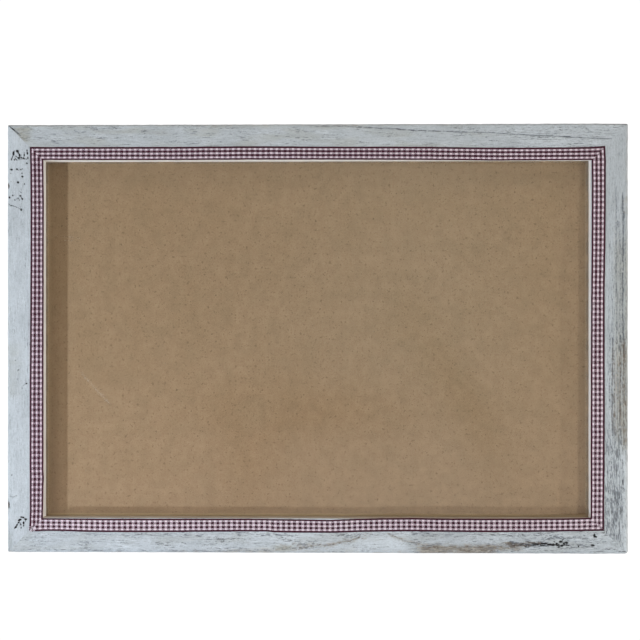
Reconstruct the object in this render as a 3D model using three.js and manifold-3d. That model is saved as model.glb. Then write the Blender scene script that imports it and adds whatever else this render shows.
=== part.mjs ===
// Wooden picture frame, landscape, for an 8 x 12 inch print.
// Four mitred softwood rails with a rebate, a ribbon strip glued round the sight edge,
// a glass pane, a hardboard back held by turn buttons, V-nails across the mitres,
// and two D-ring hangers on the side rails.
//
// Frame: millimetres, +X to the viewer's right, +Z up, the front looks along -Y.
// Origin: centre of the rear plane of the rails, the plane that hangs against the wall.
import * as THREE from 'three';
import { mergeVertices } from 'three/addons/utils/BufferGeometryUtils.js';
import Module from 'manifold-3d';

const wasm = await Module();
wasm.setup();

// ---------------------------------------------------------------- driving dimensions
const OUTER_W = 330; // outside width
const OUTER_H = 228; // outside height
const RAIL_W = 19; // face width of a rail
const RAIL_T = 14; // rail thickness, front to back
const REBATE_W = 7.25; // rebate width, measured from the sight edge outwards
const REBATE_D = 5.6; // rebate depth, measured from the back
const ARRIS_OUT = 1.5; // worn outer front edge
const ARRIS_IN = 0.4; // sight edge
const ARRIS_BACK = 0.5; // eased rear edge
const MITRE_EASE = 0.12; // each rail stops this far short of the mitre plane, along its length

const RIBBON_W = 6.9;
const RIBBON_T = 0.3;
const RIBBON_INSET = 0.4; // ribbon edge back from the sight edge
const RIBBON_LIFT = 0.05; // glue line

const PANE_W = 304.8; // glass and backing board, a nominal 12 x 8 in
const PANE_H = 203.2;
const GLASS_T = 2;
const BOARD_T = 3;
const SEAT_GAP = 0.2; // glass to the rebate shoulder
const PRINT_GAP = 0.25; // room for a print between glass and board

const SCREW_INSET = 5.9; // fixing line on the back, in from the outside edge
const SCREW_R = 1.25; // wood screw shank
const SCREW_CLEAR = 0.3; // pilot holes and plate holes are this much larger in radius
const SCREW_LEN = 10; // below the head
const HEAD_R = 2.8;
const HEAD_H = 1.7;

const BUTTON_T = 1;
const BUTTON_LIFT = 0.15; // plate clear of the rail
const BUTTON_HUB_R = 4.6;
const BUTTON_TIP_R = 3.2;
const BUTTON_REACH = 14; // pivot to the centre of the round tip
const BUTTON_X = 85; // buttons on the long rails
const BUTTON_Z = -16; // buttons on the short rails

const HANGER_Z = 40; // ring pivot height
const STRAP_W = 7;
const STRAP_T = 1.6; // folded, two layers
const STRAP_LIFT = 0.1;
const STRAP_HOLE = 13; // pivot to screw
const STRAP_END = 4; // screw to the rounded end
const LOOP_WALL = 0.8;
const WIRE_R = 0.8; // D-ring wire
const WIRE_CLEAR = 0.25;
const RING_HALF = 4.8; // half width of the D on the wire centreline
const RING_CORNER = 1;
const RING_SIDE = 3.4; // where the round of the D begins
const RING_REST = 6; // degrees off plumb where the hanging ring leans on its strap

const VNAIL_T = 0.6;
const VNAIL_LEG = 5;
const VNAIL_H = 7;
const VNAIL_AT = 4.2; // apex, in from both outside edges
const VNAIL_PROUD = 0.06; // pressed in until only a hair of the strip stands above the wood
const VNAIL_CLEAR = 0.25;

// ---------------------------------------------------------------- materials
const std = (color, roughness, metalness = 0, extra = {}) =>
  new THREE.MeshStandardMaterial({ color, roughness, metalness, ...extra });
const paintedWood = std(0xb9c0c3, 0.75);
const ribbonCloth = std(0x8d6470, 0.85);
const clearGlass = std(0xe4eeea, 0.05, 0, { transparent: true, opacity: 0.25 });
const hardboard = std(0x98826a, 0.8);
const zinc = std(0xb4b6b8, 0.35, 1);
const steel = std(0x8c8f94, 0.4, 1);

// ---------------------------------------------------------------- helpers
const frame = new THREE.Group();

function place(name, geometry, material) {
  const mesh = new THREE.Mesh(geometry, material);
  mesh.name = name;
  frame.add(mesh);
  return mesh;
}

function bare(geometry) {
  const g = geometry.clone();
  for (const key of Object.keys(g.attributes)) if (key !== 'position') g.deleteAttribute(key);
  g.clearGroups();
  return mergeVertices(g, 1e-4);
}

// Six times the signed volume of an indexed geometry.
function signed(g) {
  const p = g.attributes.position;
  const ix = g.index.array;
  const a = new THREE.Vector3();
  const b = new THREE.Vector3();
  const c = new THREE.Vector3();
  let v = 0;
  for (let i = 0; i < ix.length; i += 3) {
    a.fromBufferAttribute(p, ix[i]);
    b.fromBufferAttribute(p, ix[i + 1]);
    c.fromBufferAttribute(p, ix[i + 2]);
    v += a.dot(b.cross(c));
  }
  return v;
}

// Faces turned outwards, whatever mirroring the vertex mapping did.
function faceOut(geometry) {
  const g = bare(geometry);
  if (signed(g) < 0) {
    const ix = g.index.array;
    for (let i = 0; i < ix.length; i += 3) [ix[i + 1], ix[i + 2]] = [ix[i + 2], ix[i + 1]];
  }
  return g;
}

function solid(geometry) {
  const g = faceOut(geometry);
  return new wasm.Manifold(
    new wasm.Mesh({
      numProp: 3,
      vertProperties: new Float32Array(g.attributes.position.array),
      triVerts: new Uint32Array(g.index.array),
    }),
  );
}

function geometryOf(manifold) {
  const m = manifold.getMesh();
  const v = new Float32Array(m.numVert * 3);
  for (let i = 0; i < m.numVert; i++) v.set(m.vertProperties.subarray(i * m.numProp, i * m.numProp + 3), i * 3);
  const g = new THREE.BufferGeometry();
  g.setAttribute('position', new THREE.BufferAttribute(v, 3));
  g.setIndex(new THREE.BufferAttribute(new Uint32Array(m.triVerts), 1));
  g.computeVertexNormals();
  return g;
}

const cut = (body, tools) => tools.reduce((s, t) => s.subtract(t), body);

// A straight member along one side of the frame with both ends cut at 45 degrees.
// The section is drawn in (u, y): u runs from the outside edge towards the opening.
const SIDES = {
  top: { length: OUTER_W, at: (s, u) => [s, OUTER_H / 2 - u] },
  bottom: { length: OUTER_W, at: (s, u) => [s, -OUTER_H / 2 + u] },
  left: { length: OUTER_H, at: (s, u) => [-OUTER_W / 2 + u, s] },
  right: { length: OUTER_H, at: (s, u) => [OUTER_W / 2 - u, s] },
};

function mitred(section, side, ease) {
  const { length, at } = SIDES[side];
  const g = new THREE.ExtrudeGeometry(section, { depth: 1, bevelEnabled: false, steps: 1, curveSegments: 5 });
  const p = g.attributes.position;
  for (let i = 0; i < p.count; i++) {
    const u = p.getX(i);
    const s = (p.getZ(i) - 0.5) * 2 * (length / 2 - u - ease);
    const [x, z] = at(s, u);
    p.setXYZ(i, x, p.getY(i), z);
  }
  return g;
}

// A point on the fixing line of a side, s along it.
const onSide = (side, s, u = SCREW_INSET) => SIDES[side].at(s, u);

// ---------------------------------------------------------------- rail section
const FACE_Y = -RAIL_T;
const SHOULDER_Y = -REBATE_D;
const railSection = new THREE.Shape();
railSection.moveTo(ARRIS_BACK, 0);
railSection.lineTo(RAIL_W - REBATE_W, 0);
railSection.lineTo(RAIL_W - REBATE_W, SHOULDER_Y);
railSection.lineTo(RAIL_W, SHOULDER_Y);
railSection.lineTo(RAIL_W, FACE_Y + ARRIS_IN);
railSection.absarc(RAIL_W - ARRIS_IN, FACE_Y + ARRIS_IN, ARRIS_IN, 0, -Math.PI / 2, true);
railSection.lineTo(ARRIS_OUT, FACE_Y);
railSection.absarc(ARRIS_OUT, FACE_Y + ARRIS_OUT, ARRIS_OUT, -Math.PI / 2, -Math.PI, true);
railSection.lineTo(0, -ARRIS_BACK);
railSection.closePath();

// ---------------------------------------------------------------- hardware positions
const BUTTONS = [
  { name: 'top_left', side: 'top', s: -BUTTON_X },
  { name: 'top_right', side: 'top', s: BUTTON_X },
  { name: 'bottom_left', side: 'bottom', s: -BUTTON_X },
  { name: 'bottom_right', side: 'bottom', s: BUTTON_X },
  { name: 'left', side: 'left', s: BUTTON_Z },
  { name: 'right', side: 'right', s: BUTTON_Z },
];
const INWARD = { top: [0, -1], bottom: [0, 1], left: [1, 0], right: [-1, 0] };
const HANGERS = [
  { name: 'left', side: 'left' },
  { name: 'right', side: 'right' },
];

// ---------------------------------------------------------------- wood screws
// Pan head with a cross recess; the shank tapers to a point. Axis along Y, head to the rear.
function screwGeometry(x, z, seatY) {
  const profile = [
    [0, -SCREW_LEN],
    [SCREW_R * 0.45, -SCREW_LEN + 1.6],
    [SCREW_R, -SCREW_LEN + 3.4],
    [SCREW_R, 0],
    [HEAD_R, 0],
    [HEAD_R, HEAD_H * 0.45],
    [HEAD_R * 0.86, HEAD_H * 0.8],
    [HEAD_R * 0.55, HEAD_H],
    [0, HEAD_H],
  ].map(([r, y]) => new THREE.Vector2(r, y));
  const body = new THREE.LatheGeometry(profile, 20);
  const recess = [0, Math.PI / 2].map((turn) => {
    const blade = new THREE.BoxGeometry(3.0, 1.6, 0.62);
    blade.rotateY(turn + Math.PI / 4);
    blade.translate(0, HEAD_H - 0.95 + 0.8, 0);
    return solid(blade);
  });
  const g = geometryOf(cut(solid(body), recess));
  g.translate(x, seatY, z);
  return g;
}

const bore = (x, z, r, y0, y1) => {
  const c = new THREE.CylinderGeometry(r, r, y1 - y0, 16);
  c.translate(x, (y0 + y1) / 2, z);
  return solid(c);
};

// ---------------------------------------------------------------- V-nails
// An L-shaped strip of spring steel pressed in from the back, one leg into each rail.
const CORNERS = [
  { name: 'top_left', sx: -1, sz: 1 },
  { name: 'top_right', sx: 1, sz: 1 },
  { name: 'bottom_left', sx: -1, sz: -1 },
  { name: 'bottom_right', sx: 1, sz: -1 },
];
function vnailGeometry({ sx, sz }, grow, y0, y1) {
  const h = VNAIL_T / 2 + grow;
  const far = VNAIL_LEG + grow;
  const ell = new THREE.Shape(
    [
      [-h, -h],
      [far, -h],
      [far, h],
      [h, h],
      [h, far],
      [-h, far],
    ].map(([a, b]) => new THREE.Vector2(a, b)),
  );
  const g = new THREE.ExtrudeGeometry(ell, { depth: y1 - y0, bevelEnabled: false });
  const p = g.attributes.position;
  for (let i = 0; i < p.count; i++) {
    const x = sx * (OUTER_W / 2 - VNAIL_AT - p.getX(i));
    const z = sz * (OUTER_H / 2 - VNAIL_AT - p.getY(i));
    p.setXYZ(i, x, y0 + p.getZ(i), z);
  }
  return g;
}

// ---------------------------------------------------------------- rails
const vSlots = Object.fromEntries(CORNERS.map((c) => [c.name, solid(vnailGeometry(c, VNAIL_CLEAR, -VNAIL_H - 0.6, 1))]));
for (const side of Object.keys(SIDES)) {
  const tools = [];
  for (const b of BUTTONS) if (b.side === side) {
    const [x, z] = onSide(side, b.s);
    tools.push(bore(x, z, SCREW_R + SCREW_CLEAR, -SCREW_LEN, 2));
  }
  for (const h of HANGERS) if (h.side === side) {
    const [x, z] = onSide(side, HANGER_Z - STRAP_HOLE);
    tools.push(bore(x, z, SCREW_R + SCREW_CLEAR, -SCREW_LEN, 2));
  }
  for (const c of CORNERS) if (c.name.includes(side)) tools.push(vSlots[c.name]);
  place('rail_' + side, geometryOf(cut(solid(mitred(railSection, side, MITRE_EASE)), tools)), paintedWood);
}

for (const c of CORNERS)
  place('v_nail_' + c.name, faceOut(vnailGeometry(c, 0, -VNAIL_H, VNAIL_PROUD)), steel);

// ---------------------------------------------------------------- ribbon strips
const U1 = RAIL_W - RIBBON_INSET;
const U0 = U1 - RIBBON_W;
const ribbonSection = new THREE.Shape(
  [
    [U0, FACE_Y - RIBBON_LIFT],
    [U0, FACE_Y - RIBBON_LIFT - RIBBON_T],
    [U1, FACE_Y - RIBBON_LIFT - RIBBON_T],
    [U1, FACE_Y - RIBBON_LIFT],
  ].map(([u, y]) => new THREE.Vector2(u, y)),
);
for (const side of Object.keys(SIDES))
  place('ribbon_' + side, faceOut(mitred(ribbonSection, side, MITRE_EASE)), ribbonCloth);

// ---------------------------------------------------------------- glass and back
const glassFront = SHOULDER_Y + SEAT_GAP;
const glassBack = glassFront + GLASS_T;
const boardFront = glassBack + PRINT_GAP;
const slab = (w, y0, y1, h) => {
  const g = new THREE.BoxGeometry(w, y1 - y0, h);
  g.translate(0, (y0 + y1) / 2, 0);
  return faceOut(g);
};
place('glass_pane', slab(PANE_W, glassFront, glassBack, PANE_H), clearGlass);
place('backing_board', slab(PANE_W, boardFront, boardFront + BOARD_T, PANE_H), hardboard);

// ---------------------------------------------------------------- turn buttons
// A stamped teardrop plate that swings on its screw; it points over the board when closed.
function buttonGeometry(x, z, [dx, dz]) {
  const outline = new THREE.Shape();
  const tilt = Math.asin((BUTTON_HUB_R - BUTTON_TIP_R) / BUTTON_REACH);
  outline.absarc(0, 0, BUTTON_HUB_R, Math.PI / 2 - tilt, Math.PI * 1.5 + tilt, false);
  outline.absarc(BUTTON_REACH, 0, BUTTON_TIP_R, -Math.PI / 2 + tilt, Math.PI / 2 - tilt, false);
  outline.closePath();
  const hole = new THREE.Path();
  hole.absarc(0, 0, SCREW_R + SCREW_CLEAR, 0, Math.PI * 2, true);
  outline.holes.push(hole);
  const g = new THREE.ExtrudeGeometry(outline, { depth: BUTTON_T, bevelEnabled: false, curveSegments: 14 });
  const p = g.attributes.position;
  for (let i = 0; i < p.count; i++) {
    const a = p.getX(i);
    const b = p.getY(i);
    p.setXYZ(i, x + a * dx - b * dz, BUTTON_LIFT + p.getZ(i), z + a * dz + b * dx);
  }
  return faceOut(g);
}
for (const b of BUTTONS) {
  const [x, z] = onSide(b.side, b.s);
  place('turn_button_' + b.name, buttonGeometry(x, z, INWARD[b.side]), zinc);
  place('button_screw_' + b.name, screwGeometry(x, z, BUTTON_LIFT + BUTTON_T + 0.15), zinc);
}

// ---------------------------------------------------------------- D-ring hangers
const LOOP_IN = WIRE_R + WIRE_CLEAR;
const LOOP_OUT = LOOP_IN + LOOP_WALL;
const PIVOT_Y = STRAP_LIFT + LOOP_OUT;

// Folded strap: side section in (z, y), swept across its width, then trimmed to a round end.
function strapGeometry(x, z) {
  const side = new THREE.Shape();
  const end = -(STRAP_HOLE + STRAP_END);
  side.moveTo(end, STRAP_LIFT);
  side.lineTo(0, STRAP_LIFT);
  side.absarc(0, PIVOT_Y, LOOP_OUT, -Math.PI / 2, Math.PI * 0.87, false);
  side.lineTo(-3.2, STRAP_LIFT + STRAP_T);
  side.lineTo(end, STRAP_LIFT + STRAP_T);
  side.closePath();
  const eye = new THREE.Path();
  eye.absarc(0, PIVOT_Y, LOOP_IN, 0, Math.PI * 2, true);
  side.holes.push(eye);
  const swept = new THREE.ExtrudeGeometry(side, { depth: STRAP_W, bevelEnabled: false, curveSegments: 14 });
  const p = swept.attributes.position;
  for (let i = 0; i < p.count; i++) p.setXYZ(i, p.getZ(i) - STRAP_W / 2, p.getY(i), p.getX(i));
  const plan = new THREE.Shape();
  plan.absarc(0, end + STRAP_W / 2, STRAP_W / 2, Math.PI, Math.PI * 2, false);
  plan.lineTo(STRAP_W / 2, 6);
  plan.lineTo(-STRAP_W / 2, 6);
  plan.closePath();
  const trim = new THREE.ExtrudeGeometry(plan, { depth: 8, bevelEnabled: false, curveSegments: 10 });
  const q = trim.attributes.position;
  for (let i = 0; i < q.count; i++) q.setXYZ(i, q.getX(i) * 0.9999, q.getZ(i) - 2, q.getY(i));
  const g = geometryOf(
    cut(solid(swept).intersect(solid(trim)), [bore(0, -STRAP_HOLE, SCREW_R + SCREW_CLEAR, -1, 4)]),
  );
  g.translate(x, 0, z);
  return g;
}

// The ring: a closed wire D with its straight bar in the strap's eye, hanging down.
function ringGeometry(x, z) {
  const pts = [];
  const bar = RING_HALF - RING_CORNER;
  for (let i = 0; i <= 6; i++) pts.push([-bar + (2 * bar * i) / 6, 0]);
  for (let i = 1; i <= 4; i++) {
    const t = (-Math.PI / 2) * (1 - i / 4);
    pts.push([bar + RING_CORNER * Math.cos(t), RING_CORNER + RING_CORNER * Math.sin(t)]);
  }
  for (let i = 0; i <= 14; i++) {
    const t = (Math.PI * i) / 14;
    pts.push([RING_HALF * Math.cos(t), RING_SIDE + RING_HALF * Math.sin(t)]);
  }
  for (let i = 0; i < 4; i++) {
    const t = Math.PI + (Math.PI / 2) * (i / 4);
    pts.push([-bar + RING_CORNER * Math.cos(t), RING_CORNER + RING_CORNER * Math.sin(t)]);
  }
  const lean = THREE.MathUtils.degToRad(RING_REST);
  const path = new THREE.CatmullRomCurve3(
    pts.map(([a, r]) => new THREE.Vector3(x + a, PIVOT_Y + r * Math.sin(lean), z - r * Math.cos(lean))),
    true,
    'centripetal',
  );
  return faceOut(new THREE.TubeGeometry(path, 56, WIRE_R, 10, true));
}
for (const h of HANGERS) {
  const [x, z] = onSide(h.side, HANGER_Z);
  place('hanger_strap_' + h.name, strapGeometry(x, z), zinc);
  place('hanger_ring_' + h.name, ringGeometry(x, z), zinc);
  place('hanger_screw_' + h.name, screwGeometry(x, z - STRAP_HOLE, STRAP_LIFT + STRAP_T + 0.15), zinc);
}

export default frame;
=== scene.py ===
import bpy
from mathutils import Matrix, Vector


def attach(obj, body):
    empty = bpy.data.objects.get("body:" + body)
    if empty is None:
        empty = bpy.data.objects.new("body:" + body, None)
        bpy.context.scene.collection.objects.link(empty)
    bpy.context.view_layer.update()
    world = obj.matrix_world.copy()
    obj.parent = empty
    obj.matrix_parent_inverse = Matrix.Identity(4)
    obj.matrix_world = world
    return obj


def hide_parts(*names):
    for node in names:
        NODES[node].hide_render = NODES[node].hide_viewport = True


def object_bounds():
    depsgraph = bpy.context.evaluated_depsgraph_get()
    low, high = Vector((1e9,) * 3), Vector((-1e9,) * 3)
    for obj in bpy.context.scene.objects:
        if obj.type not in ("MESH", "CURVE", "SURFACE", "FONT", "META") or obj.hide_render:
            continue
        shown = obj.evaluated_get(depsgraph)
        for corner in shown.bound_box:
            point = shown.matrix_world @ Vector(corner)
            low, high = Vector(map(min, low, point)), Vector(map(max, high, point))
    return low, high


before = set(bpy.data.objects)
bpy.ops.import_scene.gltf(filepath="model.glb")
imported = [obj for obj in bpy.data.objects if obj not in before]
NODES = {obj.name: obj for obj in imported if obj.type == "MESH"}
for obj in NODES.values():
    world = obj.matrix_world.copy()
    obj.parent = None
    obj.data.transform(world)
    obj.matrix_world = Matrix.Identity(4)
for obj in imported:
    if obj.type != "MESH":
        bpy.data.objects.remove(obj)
CAD_BOX = [[float(c) for c in v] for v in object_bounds()]

import math

import bpy
import numpy as np
from mathutils import Vector

MM = 0.001

# ------------------------------------------------------------------ sizes, mm
W, H, T = 330.0, 228.0, 14.0
REBATE_U, SHOULDER_Y = 11.75, -5.6
RAILS = {  # face width, radius of the worn outer edge, how far it stands outside the nominal size, lean of the inner wall, seed, brightness of the paint on its inner wall, kept low on the bottom wall as painted shade
    "left": dict(w=18.65, arris=0.9, out=0.0, taper=0.28, seed=11, lip=1.0),
    "right": dict(w=19.95, arris=2.1, out=0.45, taper=-0.24, seed=23, lip=0.92),
    "top": dict(w=18.8, arris=1.2, out=0.05, taper=0.28, seed=37, lip=1.0),
    "bottom": dict(w=18.5, arris=1.3, out=0.3, taper=-0.10, seed=51, lip=0.30),
}
GAP = {frozenset(k): v for k, v in ((("top", "left"), 0.010), (("top", "right"), 0.003), (("bottom", "left"), 0.008), (("bottom", "right"), 0.005))}  # mitres, each side
CORNER_R = {"bottom_right": 1.9, "bottom_left": 0.7, "top_left": 0.6, "top_right": 1.0}  # in plan

# ------------------------------------------------------------------ camera
CAM_AT = np.array([0.01636, -0.764, 0.01033])
CAM_TURN, CAM_TILT, CAM_F = 0.01919, -0.00074, 1409.84  # radians, radians, pixels in a 640 px picture
_ca, _sa, _ce, _se = math.cos(CAM_TURN), math.sin(CAM_TURN), math.cos(CAM_TILT), math.sin(CAM_TILT)
CAM_RIGHT = np.array([_ca, _sa, 0.0])
CAM_FWD = np.array([-_sa * _ce, _ca * _ce, _se])
CAM_UP = np.cross(CAM_RIGHT, CAM_FWD)


def to_picture(x, y, z):
    """Where points given in mm land in the 640 x 640 picture."""
    d = np.stack([x * MM - CAM_AT[0], y * MM - CAM_AT[1], z * MM - CAM_AT[2]], -1)
    k = CAM_F / (d @ CAM_FWD)
    return 320.0 + k * (d @ CAM_RIGHT), 320.0 - k * (d @ CAM_UP)


def from_picture(px, py, y):
    """The point in mm on the plane y that lands at px, py."""
    px, py = np.asarray(px, float), np.asarray(py, float)
    d = CAM_FWD + ((px - 320.0) / CAM_F)[..., None] * CAM_RIGHT - ((py - 320.0) / CAM_F)[..., None] * CAM_UP
    t = (y * MM - CAM_AT[1]) / d[..., 1]
    p = CAM_AT + t[..., None] * d
    return p[..., 0] / MM, p[..., 2] / MM


# ------------------------------------------------------------------ seeded noise on arrays
def _hash(ix, iy, seed):
    h = (ix.astype(np.int64) * 374761393 + iy.astype(np.int64) * 668265263 + seed * 974711) & 0xFFFFFFFF
    h = ((h ^ (h >> 13)) * 1274126177) & 0xFFFFFFFF
    return (h ^ (h >> 16)) & 0xFFFFFFFF


def noise(x, y, seed):
    """Smooth gradient noise, about 0..1 round 0.5."""
    ix, iy = np.floor(x), np.floor(y)
    fx, fy = x - ix, y - iy

    def corner(a, b):
        ang = _hash(ix + a, iy + b, seed) * (2 * math.pi / 4294967296.0)
        return np.cos(ang) * (fx - a) + np.sin(ang) * (fy - b)

    wx = fx * fx * fx * (fx * (fx * 6 - 15) + 10)
    wy = fy * fy * fy * (fy * (fy * 6 - 15) + 10)
    lo = corner(0, 0) * (1 - wx) + corner(1, 0) * wx
    hi = corner(0, 1) * (1 - wx) + corner(1, 1) * wx
    return 0.5 + 0.72 * (lo * (1 - wy) + hi * wy)


def fbm(x, y, seed, octaves=3, gain=0.5):
    total, amp, norm = 0.0, 1.0, 0.0
    for k in range(octaves):
        total = total + amp * (noise(x * 2.03**k, y * 2.03**k, seed + 101 * k) - 0.5)
        norm += amp
        amp *= gain
    return 0.5 + total / norm * 1.25


def smooth(v, a, b):
    t = np.clip((v - a) / (b - a), 0.0, 1.0)
    return t * t * (3 - 2 * t)


# ------------------------------------------------------------------ mesh helpers
def mesh_object(name, verts_mm, quads, caps=(), sharp=None):
    """A mesh from a vertex array in mm, an (n, 4) quad array and a list of polygon caps."""
    quads = np.asarray(quads, np.int32)
    v = np.asarray(verts_mm, float) * MM
    tri = np.concatenate([quads[:, [0, 1, 2]], quads[:, [0, 2, 3]]])
    vol = np.einsum("ij,ij->", v[tri[:, 0]], np.cross(v[tri[:, 1]], v[tri[:, 2]]))
    for c in caps:
        c = np.asarray(c)
        t = np.stack([np.full(len(c) - 2, c[0]), c[1:-1], c[2:]], 1)
        vol += np.einsum("ij,ij->", v[t[:, 0]], np.cross(v[t[:, 1]], v[t[:, 2]]))
    turned = vol < 0
    if turned:
        quads = quads[:, ::-1]
        caps = [list(c)[::-1] for c in caps]
    me = bpy.data.meshes.new(name)
    sizes = [4] * len(quads) + [len(c) for c in caps]
    flat = np.concatenate([quads.reshape(-1)] + [np.asarray(c, np.int32) for c in caps]).astype(np.int32)
    me.vertices.add(len(v))
    me.vertices.foreach_set("co", v.astype(np.float32).reshape(-1))
    me.loops.add(len(flat))
    me.loops.foreach_set("vertex_index", flat)
    me.polygons.add(len(sizes))
    me.polygons.foreach_set("loop_start", np.concatenate([[0], np.cumsum(sizes)[:-1]]).astype(np.int32))
    me.update(calc_edges=True)
    me.polygons.foreach_set("use_smooth", np.ones(len(sizes), bool))
    me.validate()
    if sharp:
        me.set_sharp_from_angle(angle=math.radians(sharp))
    ob = bpy.data.objects.new(name, me)
    bpy.context.scene.collection.objects.link(ob)
    return ob, turned


def point_floats(ob, **fields):
    for name, values in fields.items():
        a = ob.data.attributes.new(name, "FLOAT", "POINT")
        a.data.foreach_set("value", np.asarray(values, np.float32).reshape(-1))


def corner_vectors(ob, name, values):
    a = ob.data.attributes.new(name, "FLOAT_VECTOR", "CORNER")
    a.data.foreach_set("vector", np.asarray(values, np.float32).reshape(-1))


def grid_quads(n, m, closed):
    """Quads of an n x m vertex grid; closed joins the last column to the first."""
    i = np.arange(n - 1)[:, None]
    j = np.arange(m if closed else m - 1)[None, :]
    k = (j + 1) % m
    return np.stack([i * m + j, (i + 1) * m + j, (i + 1) * m + k, i * m + k], -1).reshape(-1, 4)


def polyline(points, x):
    p = np.asarray(points, float)
    return np.interp(x, p[:, 0], p[:, 1])


# ------------------------------------------------------------------ material helpers
def srgb(r, g, b):
    def lin(c):
        c /= 255.0
        return c / 12.92 if c <= 0.04045 else ((c + 0.055) / 1.055) ** 2.4

    return (lin(r), lin(g), lin(b), 1.0)


class Mat:
    def __init__(self, name):
        self.m = bpy.data.materials.new(name)
        self.m.use_nodes = True
        self.t = self.m.node_tree
        self.t.nodes.clear()
        self.out = self.t.nodes.new("ShaderNodeOutputMaterial")

    def put(self, sock, v):
        if isinstance(v, bpy.types.NodeSocket):
            self.t.links.new(v, sock)
        else:
            sock.default_value = v

    def node(self, kind, ins=None, **props):
        n = self.t.nodes.new("ShaderNode" + kind)
        for k, v in props.items():
            setattr(n, k, v)
        for k, v in (ins or {}).items():
            self.put(n.inputs[k], v)
        return n

    def math(self, op, a, b=None, c=None, clamp=False):
        n = self.node("Math", operation=op, use_clamp=clamp)
        for i, v in enumerate((a, b, c)):
            if v is not None:
                self.put(n.inputs[i], v)
        return n.outputs[0]

    def remap(self, v, a, b, c=0.0, d=1.0, soft=True):
        n = self.node("MapRange", interpolation_type="SMOOTHSTEP" if soft else "LINEAR")
        for k, x in (("Value", v), ("From Min", a), ("From Max", b), ("To Min", c), ("To Max", d)):
            self.put(n.inputs[k], x)
        return n.outputs["Result"]

    def mix(self, fac, a, b, blend="MIX"):
        n = self.node("Mix", data_type="RGBA", blend_type=blend)
        self.put(n.inputs[0], fac)
        self.put(n.inputs[6], a)
        self.put(n.inputs[7], b)
        return n.outputs[2]

    def scaled(self, vec, x, y, z=1.0):
        n = self.node("VectorMath", operation="MULTIPLY")
        self.put(n.inputs[0], vec)
        n.inputs[1].default_value = (x, y, z)
        return n.outputs[0]

    def moved(self, vec, x, y, z=0.0):
        n = self.node("VectorMath", operation="ADD")
        self.put(n.inputs[0], vec)
        n.inputs[1].default_value = (x, y, z)
        return n.outputs[0]

    def noise(self, vec, scale=1.0, detail=2.0, rough=0.5, distortion=0.0):
        n = self.node("TexNoise", {"Scale": scale, "Detail": detail, "Roughness": rough, "Distortion": distortion})
        self.put(n.inputs["Vector"], vec)
        return n.outputs["Fac"]

    def attr(self, name, out="Fac"):
        return self.node("Attribute", attribute_name=name).outputs[out]

    def obj(self):
        return self.node("TexCoord").outputs["Object"]

    def split(self, vec):
        return self.node("SeparateXYZ", {0: vec}).outputs

    def bump(self, height, distance, strength=1.0):
        n = self.node("Bump", {"Height": height, "Distance": distance, "Strength": strength})
        return n.outputs["Normal"]

    def principled(self, colour, rough, normal=None, **more):
        n = self.node("BsdfPrincipled")
        self.put(n.inputs["Base Color"], colour)
        self.put(n.inputs["Roughness"], rough)
        if normal is not None:
            self.put(n.inputs["Normal"], normal)
        for k, v in more.items():
            self.put(n.inputs[k.replace("_", " ")], v)
        self.t.links.new(n.outputs["BSDF"], self.out.inputs["Surface"])
        return n


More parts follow.
